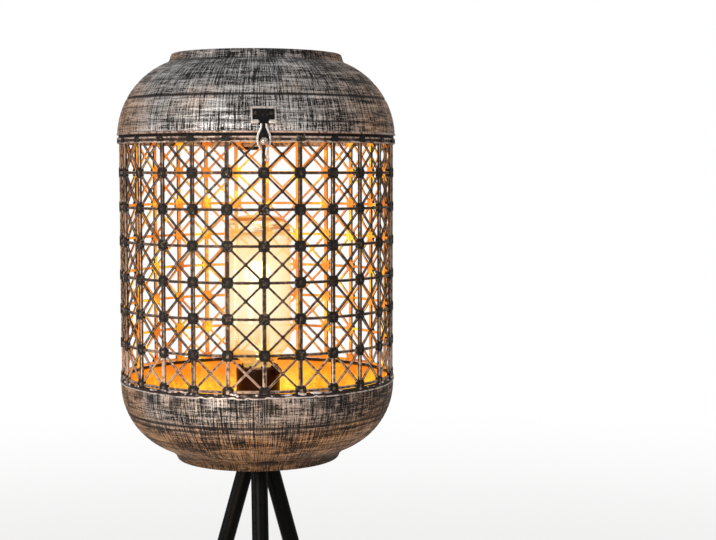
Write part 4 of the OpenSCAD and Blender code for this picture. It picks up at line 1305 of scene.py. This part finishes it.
        # painted bulb light glows on the lattice's inner faces
        gilt = GiltAndPaintedGlow("lattice_inside_painted_glow", lamp.axis_y, (0.88, 0.42, 0.07), (0.50, 0.15, 0.02)).build()
        seed = Sheetwork.object_from("shade_bars", self.cell(), "", [bars], 30.0)
        p = Pattern("lattice")
        rows = p.input("Rows", "Int", lamp.rows)
        start = p.vector(z=p.input("First row", "Float", lamp.first_row))
        offset = p.vector(z=p.input("Cell height", "Float", lamp.cell_h))
        line = p.add("MeshLine", {"mode": "OFFSET"}, {"Count": rows, "Start Location": start, "Offset": offset})
        column = p.add("InstanceOnPoints", {}, {"Points": line, "Instance": p.piece})
        wall = p.ring(column, "Ribs", lamp.ribs, lamp.axis_y)
        obj = p.bake(seed, wall, [(bars, ""), (edges, "edge"), (plates, "plate"), (gilt, "inside")])
        self.trim(obj)
        Sheetwork.settle(obj, "stand", ("shade_lattice",), "dark_bronze")
        self.top_band(plates)

    def trim(self, obj: bpy.types.Object) -> None:
        """Cuts the lattice off level at the bowl's rim and at the band.

        Args:
            obj: the lattice.
        """
        bm = bmesh.new()
        bm.from_mesh(obj.data)
        low, high = self.lamp.rim[1].z - 0.2 * MM, self.lamp.band[1].z - 0.5 * MM
        for z, way in ((low, -1.0), (high, 1.0)):
            cut = bmesh.ops.bisect_plane(bm, geom=bm.verts[:] + bm.edges[:] + bm.faces[:], dist=1e-6,
                                         plane_co=(0, 0, z), plane_no=(0, 0, way), clear_outer=True)
            edges = [e for e in cut["geom_cut"] if isinstance(e, bmesh.types.BMEdge)]
            bmesh.ops.holes_fill(bm, edges=edges, sides=0)
        bm.to_mesh(obj.data)
        bm.free()
        obj.data.shade_smooth()
        obj.data.set_sharp_from_angle(angle=math.radians(30))

    def top_band(self, plates: Material) -> None:
        """Makes the band with its two beads, and the small plates on it.

        Args:
            plates: the finish of the small plates.
        """
        lamp = self.lamp
        z0, z1, r = lamp.band[0].z, lamp.band[1].z, lamp.band[1].x
        beads = [[(r - 1.35 * MM + 0.8 * MM * math.cos(a), middle + 0.78 * MM * math.sin(a))
                  for a in (math.radians(-90 + 30 * i) for i in range(7))]
                 for middle in (z0 + 1.1 * MM, z0 + 4.5 * MM)]
        flat = [(r - 1.4 * MM, z0 + 1.95 * MM), (r - 1.4 * MM, z0 + 3.65 * MM)]
        recess = [(r - 1.5 * MM, z0 + 5.35 * MM), (r - 1.5 * MM, z1), (r - 2.2 * MM, z1),
                  (r - 2.2 * MM, z0 + 0.3 * MM)]
        bm = bmesh.new()
        Sheetwork.lathe(bm, beads[0] + flat + beads[1] + recess, lamp.axis_y, 300, Wobble(0.12 * MM, 31))
        for face in bm.faces:
            z = face.calc_center_median().z
            if z0 + 1.9 * MM < z < z0 + 3.7 * MM:
                face.material_index = 1
            elif z > z0 + 5.25 * MM:
                # the recess under the lid's lip: painted shadow
                face.material_index = 2
        finishes = [
            AgedMetal("band_bead", (0.12, 0.085, 0.065), (0.60, 0.48, 0.40), 1.0, 0.5, 0.38, 340.0, 0.0002),
            AgedMetal("band_flat", (0.030, 0.018, 0.014), (0.30, 0.21, 0.16), 0.55, 0.4, 0.45, 300.0,
                      0.0003, 0.3),
            # painted shadow in the recess under the lid's lip
            AgedMetal("band_gap_painted_shadow", (0.008, 0.005, 0.004), (0.06, 0.035, 0.025), 0.2, 0.3, 0.6, 300.0,
                      0.0003, 0.2),
        ]
        Sheetwork.object_from("shade_top_band", bm, "stand", [f.build() for f in finishes], 50.0, ("top_band",),
                              "dark_bronze")
        bm = Sheetwork.block((7.2 * MM, 1.7 * MM, 5.0 * MM), (0, -(r - 1.15 * MM), z0 + 3.1 * MM))
        seed = Sheetwork.object_from("band_plates", bm, "", [plates], 30.0)
        p = Pattern("plates on the band")
        result = p.ring(p.piece, "Plates", lamp.ribs, lamp.axis_y)
        Sheetwork.settle(p.bake(seed, result, [(plates, "")]), "stand", (), "dark_bronze")


@dataclass
class Clasp:
    """The plate on the lid and the pear-shaped tongue that hangs from it."""

    lamp: Lamp
    lid: Lid
    width: float = 19.4 * MM
    pin_rise: float = 8.0 * MM
    plate_h: float = 13.6 * MM
    knuckle_r: float = 1.6 * MM

    @property
    def pin(self) -> Place:
        """The middle of the clasp's pin."""
        lo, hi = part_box("clasp_pin")
        return tuple((lo + hi) / 2)

    def on_dome(self, x: float, rise: float, lift: float) -> Place:
        """A point over the dome's front.

        Args:
            x: how far to the right.
            rise: the height above the lid's lip.
            lift: how far off the plate's back.

        Returns:
            The point.
        """
        radius = self.lid.arc + 0.1 * MM + lift
        angle = math.asin(min(0.98, (rise + self.lid.drop) / radius))
        r = self.lid.arc_r + radius * math.cos(angle)
        return (x, self.lamp.axis_y - math.sqrt(r * r - x * x), self.lamp.lid[0].z + rise)

    def dress(self) -> None:
        """Makes the plate, the knuckles and the tongue, and gives them their finishes."""
        bright = AgedMetal("clasp_bright", (0.34, 0.29, 0.26), (0.82, 0.77, 0.73), 1.1, 0.65, 0.28, 500.0,
                           0.0001)
        dark = AgedMetal("clasp_dark", (0.0035, 0.0032, 0.0032), (0.075, 0.06, 0.055), 0.2, 0.4, 0.5, 600.0,
                         0.0003, 0.25)
        finishes = [bright.build(), dark.build()]
        self.plate(finishes)
        self.tongue(finishes)

    @staticmethod
    def thickness(inset: float) -> float:
        """The plate's thickness at a distance in from its edge: a rounded rim round a thinner field."""
        t = min(1.0, inset / (1.5 * MM))
        if t < 0.05:
            return 0.85 * MM
        return 1.2 * MM + 0.15 * MM * math.sin(math.pi * t) if t < 0.8 else 0.55 * MM

    def plate(self, finishes: list[Material]) -> None:
        """Makes the plate: a raised bright edge round a dark field.

        Args:
            finishes: the edge's finish and the field's.
        """
        columns, rows = 44, 32
        low = self.pin_rise - 1.7 * MM
        high = low + self.plate_h
        bm = bmesh.new()
        front, back = [], []
        for j in range(rows + 1):
            rise = low + (high - low) * j / rows
            spots = [self.width * (i / columns - 0.5) for i in range(columns + 1)]
            front.append([bm.verts.new(self.on_dome(
                x, rise, self.thickness(max(0.0, min(self.width / 2 - abs(x), high - rise))))) for x in spots])
            back.append([bm.verts.new(self.on_dome(x, rise, 0.0)) for x in spots])
        for j in range(rows):
            for i in range(columns):
                face = bm.faces.new((front[j][i], front[j][i + 1], front[j + 1][i + 1], front[j + 1][i]))
                side = self.width / 2 - abs(self.width * ((i + 0.5) / columns - 0.5))
                top = (high - low) * (1.0 - (j + 0.5) / rows)
                face.material_index = 0 if side < 1.15 * MM or top < 1.7 * MM else 1
                bm.faces.new((back[j][i + 1], back[j][i], back[j + 1][i], back[j + 1][i + 1]))
        borders = [grid[0][:-1] + [row[-1] for row in grid[:-1]]
                   + grid[-1][:0:-1] + [row[0] for row in grid[:0:-1]] for grid in (back, front)]
        Sheetwork.join(bm, borders)
        for side in (-1, 1):
            self.knuckle(bm, side * 6.8 * MM, 5.8 * MM, 0)
        bmesh.ops.recalc_face_normals(bm, faces=bm.faces)
        Sheetwork.object_from("clasp_back_plate", bm, "lid", finishes, 38.0, ("clasp_plate",), "dark_bronze")

    def knuckle(self, bm: bmesh.types.BMesh, x: float, length: float, index: int) -> None:
        """Adds a rolled knuckle with round ends on the clasp's pin.

        Args:
            bm: the mesh to add to.
            x: its middle.
            length: its length.
            index: its material.
        """
        _, y, z = self.pin
        stations = [(-0.5, 0.55), (-0.5, 0.8), (-0.46, 0.95), (-0.4, 1.0), (0.4, 1.0), (0.46, 0.95), (0.5, 0.8),
                    (0.5, 0.55)]
        turns = [FULL * k / 20 for k in range(20)]
        Sheetwork.solid(bm, [[bm.verts.new((x + share * length, y + self.knuckle_r * size * math.cos(a),
                                            z + self.knuckle_r * size * math.sin(a))) for a in turns]
                             for share, size in stations], index)

    def tongue(self, finishes: list[Material]) -> None:
        """Makes the spring tongue: one strip bent into a pear, with a curled pull.

        Args:
            finishes: the strip's finish, and that of the web between its shoulders.
        """
        px, py, pz = self.pin
        left = [(-2.0, -0.6), (-2.05, -2.6), (-2.15, -4.4), (-3.1, -6.8), (-4.4, -9.8), (-4.8, -12.9),
                (-4.6, -15.9), (-3.7, -18.6), (-2.6, -20.6), (-2.1, -22.4), (-2.1, -24.0)]
        right = [(2.0, -0.6), (2.05, -2.6), (2.15, -4.4), (3.1, -6.8), (4.4, -9.8), (4.8, -12.9),
                 (4.6, -15.9), (3.7, -18.4), (2.3, -20.4), (1.75, -22.6), (1.95, -25.2), (3.1, -27.2),
                 (3.7, -28.4), (2.7, -28.95), (0.4, -28.9)]
        section = Sheetwork.round_section(1.55 * MM, 1.15 * MM, 0.42 * MM)
        bm = bmesh.new()
        for line in (left, right):
            path = [Vector((px + a * MM, py, pz + b * MM)) for a, b in smooth_path(line, 6)]
            Sheetwork.sweep(bm, path, section, Vector((0, -1, 0)))
        self.knuckle(bm, px, 6.6 * MM, 1)
        half = [(2.0, 0.4), (2.15, -4.4), (3.1, -6.8), (4.4, -9.8), (4.8, -12.9), (4.6, -15.9), (3.9, -18.0),
                (2.9, -17.2), (3.35, -15.9), (3.45, -14.6), (3.0, -12.9), (1.8, -11.8)]
        web = [(-a, b) for a, b in reversed(half)] + half + [(0.0, -11.4)]
        Sheetwork.solid(bm, [[bm.verts.new((px + a * MM, py - depth * MM, pz + b * MM)) for a, b in web]
                             for depth in (-0.35, 0.2)], 1)
        bmesh.ops.recalc_face_normals(bm, faces=bm.faces)
        Sheetwork.object_from("clasp_spring_tongue", bm, "tongue", finishes, 38.0, ("clasp_tongue",),
                              "worn_steel")


@dataclass
class Light:
    """The bulb's glass and the lugs on the socket's mouth."""

    lamp: Lamp
    lugs: int = 10
    wall: float = 0.9

    def dress(self) -> None:
        """Makes the glass and the socket's lugs."""
        self.glass()
        self.socket_lugs()

    def glass(self) -> None:
        """Makes the blown tube: neck, swelling, straight side and crown, with its wall."""
        lo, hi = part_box("bulb_glass")
        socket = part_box("socket_shell")[1].z
        r, top, low = hi.x / MM, (hi.z - socket) / MM, (lo.z - socket) / MM
        half = [(12.5, low), (12.5, 0.4), (13.4, 2.6), (16.4, 6.0), (20.6, 10.2), (24.6, 15.0), (27.1, 20.0),
                (r, 25.2), (r, 40.0), (r, 60.0), (r, 80.0), (r, top - 16.5), (27.6, top - 11.6),
                (26.2, top - 7.4), (23.6, top - 4.0), (19.6, top - 1.9), (13.6, top - 0.75),
                (7.0, top - 0.2), (1.2, top)]
        outer = [(min(a, r), min(b, top)) for a, b in smooth_path(half, 5)]
        inner = [(max(self.wall, a - self.wall), b - (self.wall if b > top - 14 and a < 26 else 0.0))
                 for a, b in outer]
        bm = bmesh.new()
        Sheetwork.lathe(bm, [(a * MM, socket + b * MM) for a, b in outer + inner[::-1]], self.lamp.axis_y, 96)
        finish = LitGlass("bulb_clear_glass", (1.0, 0.93, 0.66), 1.0, socket + 0.034, socket + 0.098, 0.12,
                          hi.z - 0.003).build()
        Sheetwork.object_from("bulb_tube", bm, "stand", [finish], 60.0, ("bulb_glass",), "clear_glass")

    def socket_lugs(self) -> None:
        """Makes the lugs round the socket's mouth."""
        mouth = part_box("socket_shell")[1].z
        bm = Sheetwork.block((3.4 * MM, 2.2 * MM, 1.8 * MM), (0, -15.9 * MM, mouth + 0.5 * MM))
        finish = MOULDING.build()
        seed = Sheetwork.object_from("socket_lugs", bm, "", [finish], 40.0)
        p = Pattern("lugs")
        result = p.ring(p.piece, "Lugs", self.lugs, self.lamp.axis_y, 0.2)
        Sheetwork.settle(p.bake(seed, result, [(finish, "")]), "stand", (), "phenolic")


class Kept:
    """The CAD nodes whose shapes stay, with their finishes."""

    WEAR: ClassVar[dict[object, tuple[str, ...]]] = {
        PlainCoat("leg_paint", (0.0014, 0.0014, 0.0016), 0.40, texture=1400.0, relief=0.00008, shine=0.07):
            ("leg_front", "leg_right", "leg_left", "tripod_hub"),
        PlainCoat("tip_paint", (0.004, 0.004, 0.0045), 0.45, texture=900.0, shine=0.22): ("leg_tips",),
        MOULDING: ("socket_cap", "socket_shell", "switch_key"),
        AgedMetal("zinc_steel", (0.30, 0.29, 0.27), (0.60, 0.58, 0.54), 0.6, 0.85, 0.32, 600.0, 0.00008):
            ("leg_studs", "hub_screws", "hub_nuts", "bracket_screws", "socket_bracket", "clasp_pin",
             "band_leaf_rivets", "lid_leaf_rivets", "hinge_pin"),
        AgedMetal("bare_brass", (0.42, 0.27, 0.08), (0.78, 0.57, 0.22), 0.7, 0.9, 0.3, 500.0, 0.00008):
            ("socket_nipple", "nipple_nut", "screw_shell", "centre_contact"),
        AgedMetal("leaf_metal", (0.030, 0.024, 0.020), (0.36, 0.29, 0.24), 0.35, 0.6, 0.42, 420.0):
            ("clasp_rivets", "band_leaf", "lid_leaf"),
        AgedMetal("ball_metal", (0.34, 0.28, 0.24), (0.74, 0.68, 0.63), 0.9, 0.75, 0.24, 400.0, 0.00008):
            ("clasp_stud",),
        PlainCoat("porcelain", (0.80, 0.77, 0.70), 0.35, coat=0.3, mottle=0.06): ("socket_core",),
        PlainCoat("bush_rubber", (0.020, 0.020, 0.020), 0.7): ("cord_bush",),
        AgedMetal("nickel_plate", (0.42, 0.40, 0.36), (0.72, 0.70, 0.66), 0.8, 0.9, 0.25, 500.0, 0.00006):
            ("bulb_cap", "bulb_contact", "filament_wires"),
        PlainCoat("cap_insulator", (0.030, 0.024, 0.020), 0.2): ("bulb_insulator",),
        LitGlass("stem_glass", (1.0, 0.72, 0.34), 0.6, 0.78, 0.86, 0.25): ("bulb_stem",),
        LitRod("lit_rods", (1.0, 0.80, 0.42), 9.0): ("bulb_filaments",),
    }

    def dress(self, nodes: dict[str, bpy.types.Object]) -> None:
        """Gives every kept node its finish.

        Args:
            nodes: the frame's nodes.
        """
        for finish, names in self.WEAR.items():
            material = finish.build()
            for name in names:
                mesh = nodes[name].data
                mesh.materials.clear()
                mesh.materials.append(material)
                mesh.polygons.foreach_set("material_index", [0] * len(mesh.polygons))
                log.info("%s wears %s", name, material.name)


@dataclass
class Studio:
    """The camera, the lights and the pale floor. Angles are in degrees."""

    lamp: Lamp
    focal: float = 72.55
    back: float = 1221.0 * MM
    height: float = 927.5 * MM
    turn: float = -2.56
    heading: float = 6.55
    pitch: float = -4.0

    def camera(self) -> None:
        """Stands the camera where the photograph was taken from."""
        data = bpy.data.cameras.new("camera")
        data.lens = self.focal
        data.sensor_width = 36.0
        data.clip_start, data.clip_end = 0.05, 200.0
        cam = bpy.data.objects.new("camera", data)
        bpy.context.scene.collection.objects.link(cam)
        cam.location = turned(self.back, math.radians(self.turn), self.height, self.lamp.axis_y)
        cam.rotation_euler = (math.radians(90.0 + self.pitch), 0.0, -math.radians(self.heading))
        bpy.context.scene.camera = cam

    def softbox(self, name: str, at: Place, aim: Place, size: float, power: float, tint: Colour) -> None:
        """Adds a square soft light.

        Args:
            name: the light's name.
            at: where it stands.
            aim: what it points at.
            size: its side.
            power: its power in watts.
            tint: its colour.
        """
        data = bpy.data.lights.new(name, "AREA")
        data.size, data.energy, data.color = size, power, tint
        obj = bpy.data.objects.new(name, data)
        bpy.context.scene.collection.objects.link(obj)
        obj.location = at
        obj.rotation_euler = (Vector(aim) - Vector(at)).to_track_quat("-Z", "Y").to_euler()

    def build(self) -> None:
        """Makes the lights, the world and the floor."""
        y = self.lamp.axis_y
        shade, bowl = (0.0, y, 0.85), (0.0, y, 0.72)
        self.softbox("key", (-1.25, y - 2.1, 1.4), shade, 1.0, 34.0, (1.0, 0.98, 0.96))
        self.softbox("fill", (1.3, y - 2.0, 1.2), shade, 1.4, 8.0, (1.0, 0.97, 0.94))
        self.softbox("side", (-2.1, y - 0.2, 0.55), shade, 0.5, 8.0, (1.0, 0.99, 0.98))
        self.softbox("top", (0.2, y + 0.6, 2.6), shade, 1.2, 3.0, (1.0, 1.0, 1.0))
        self.softbox("bounce", (-0.4, y - 0.8, 0.42), bowl, 0.4, 3.4, (1.0, 0.66, 0.36))
        glow = bpy.data.lights.new("bulb_light", "POINT")
        glow.energy, glow.color, glow.shadow_soft_size = 1.5, (1.0, 0.68, 0.30), 0.012
        obj = bpy.data.objects.new("bulb_light", glow)
        bpy.context.scene.collection.objects.link(obj)
        obj.location = (0.0, y, 0.835)
        self.world()
        self.floor()

    def world(self) -> None:
        """Makes a plain white surround that lights softly."""
        world = bpy.data.worlds.new("surround")
        bpy.context.scene.world = world
        world.use_nodes = True
        nodes, links = world.node_tree.nodes, world.node_tree.links
        nodes.clear()
        path, seen = nodes.new("ShaderNodeLightPath"), nodes.new("ShaderNodeMath")
        seen.operation = "MAXIMUM"
        links.new(path.outputs["Is Camera Ray"], seen.inputs[0])
        links.new(path.outputs["Is Transmission Ray"], seen.inputs[1])
        mix, out = nodes.new("ShaderNodeMixShader"), nodes.new("ShaderNodeOutputWorld")
        links.new(seen.outputs[0], mix.inputs[0])
        for slot, colour, strength in ((1, (1.0, 0.975, 0.95, 1.0), 0.40), (2, (1.0, 1.0, 1.0, 1.0), 1.0)):
            light = nodes.new("ShaderNodeBackground")
            light.inputs["Color"].default_value = colour
            light.inputs["Strength"].default_value = strength
            links.new(light.outputs[0], mix.inputs[slot])
        links.new(mix.outputs[0], out.inputs["Surface"])

    def floor(self) -> None:
        """Lays a pale floor that keeps the lamp's shadow."""
        bm = bmesh.new()
        bmesh.ops.create_grid(bm, x_segments=1, y_segments=1, size=60.0)
        g = Graph("pale_floor")
        g.set(Base_Color=(0.80, 0.79, 0.78), Roughness=0.9)
        seen = g.add("ShaderNodeLightPath", out="Is Camera Ray")
        x, y, _ = g.parts(g.place())
        far = (x * x + y * y).power(0.5).step(0.8, 4.5, 0.66, 1.0)
        light = g.add("ShaderNodeEmission", {}, {"Color": (1.0, 1.0, 1.0), "Strength": 1.0})
        mix = g.add("ShaderNodeMixShader", {}, {0: seen * far, 1: Value(g, g.shader.outputs[0]), 2: light})
        g.feed(g.output.inputs["Surface"], mix)
        Sheetwork.object_from("floor", bm, "", [g.material])


def main() -> None:
    """Builds the studio and dresses the lamp, sub-assembly by sub-assembly."""
    logging.basicConfig(level=logging.INFO, format="%(name)s: %(message)s")
    lamp = Lamp()
    studio = Studio(lamp)
    studio.camera()
    bpy.context.scene.view_settings.view_transform = "Standard"
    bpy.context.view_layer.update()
    Kept().dress(frame["nodes"])
    lid = Lid(lamp)
    for part in (lid, Bowl(lamp), Shade(lamp), Clasp(lamp, lid), Light(lamp)):
        part.dress()
    studio.build()


if __name__ == "__main__":
    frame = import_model()
    main()
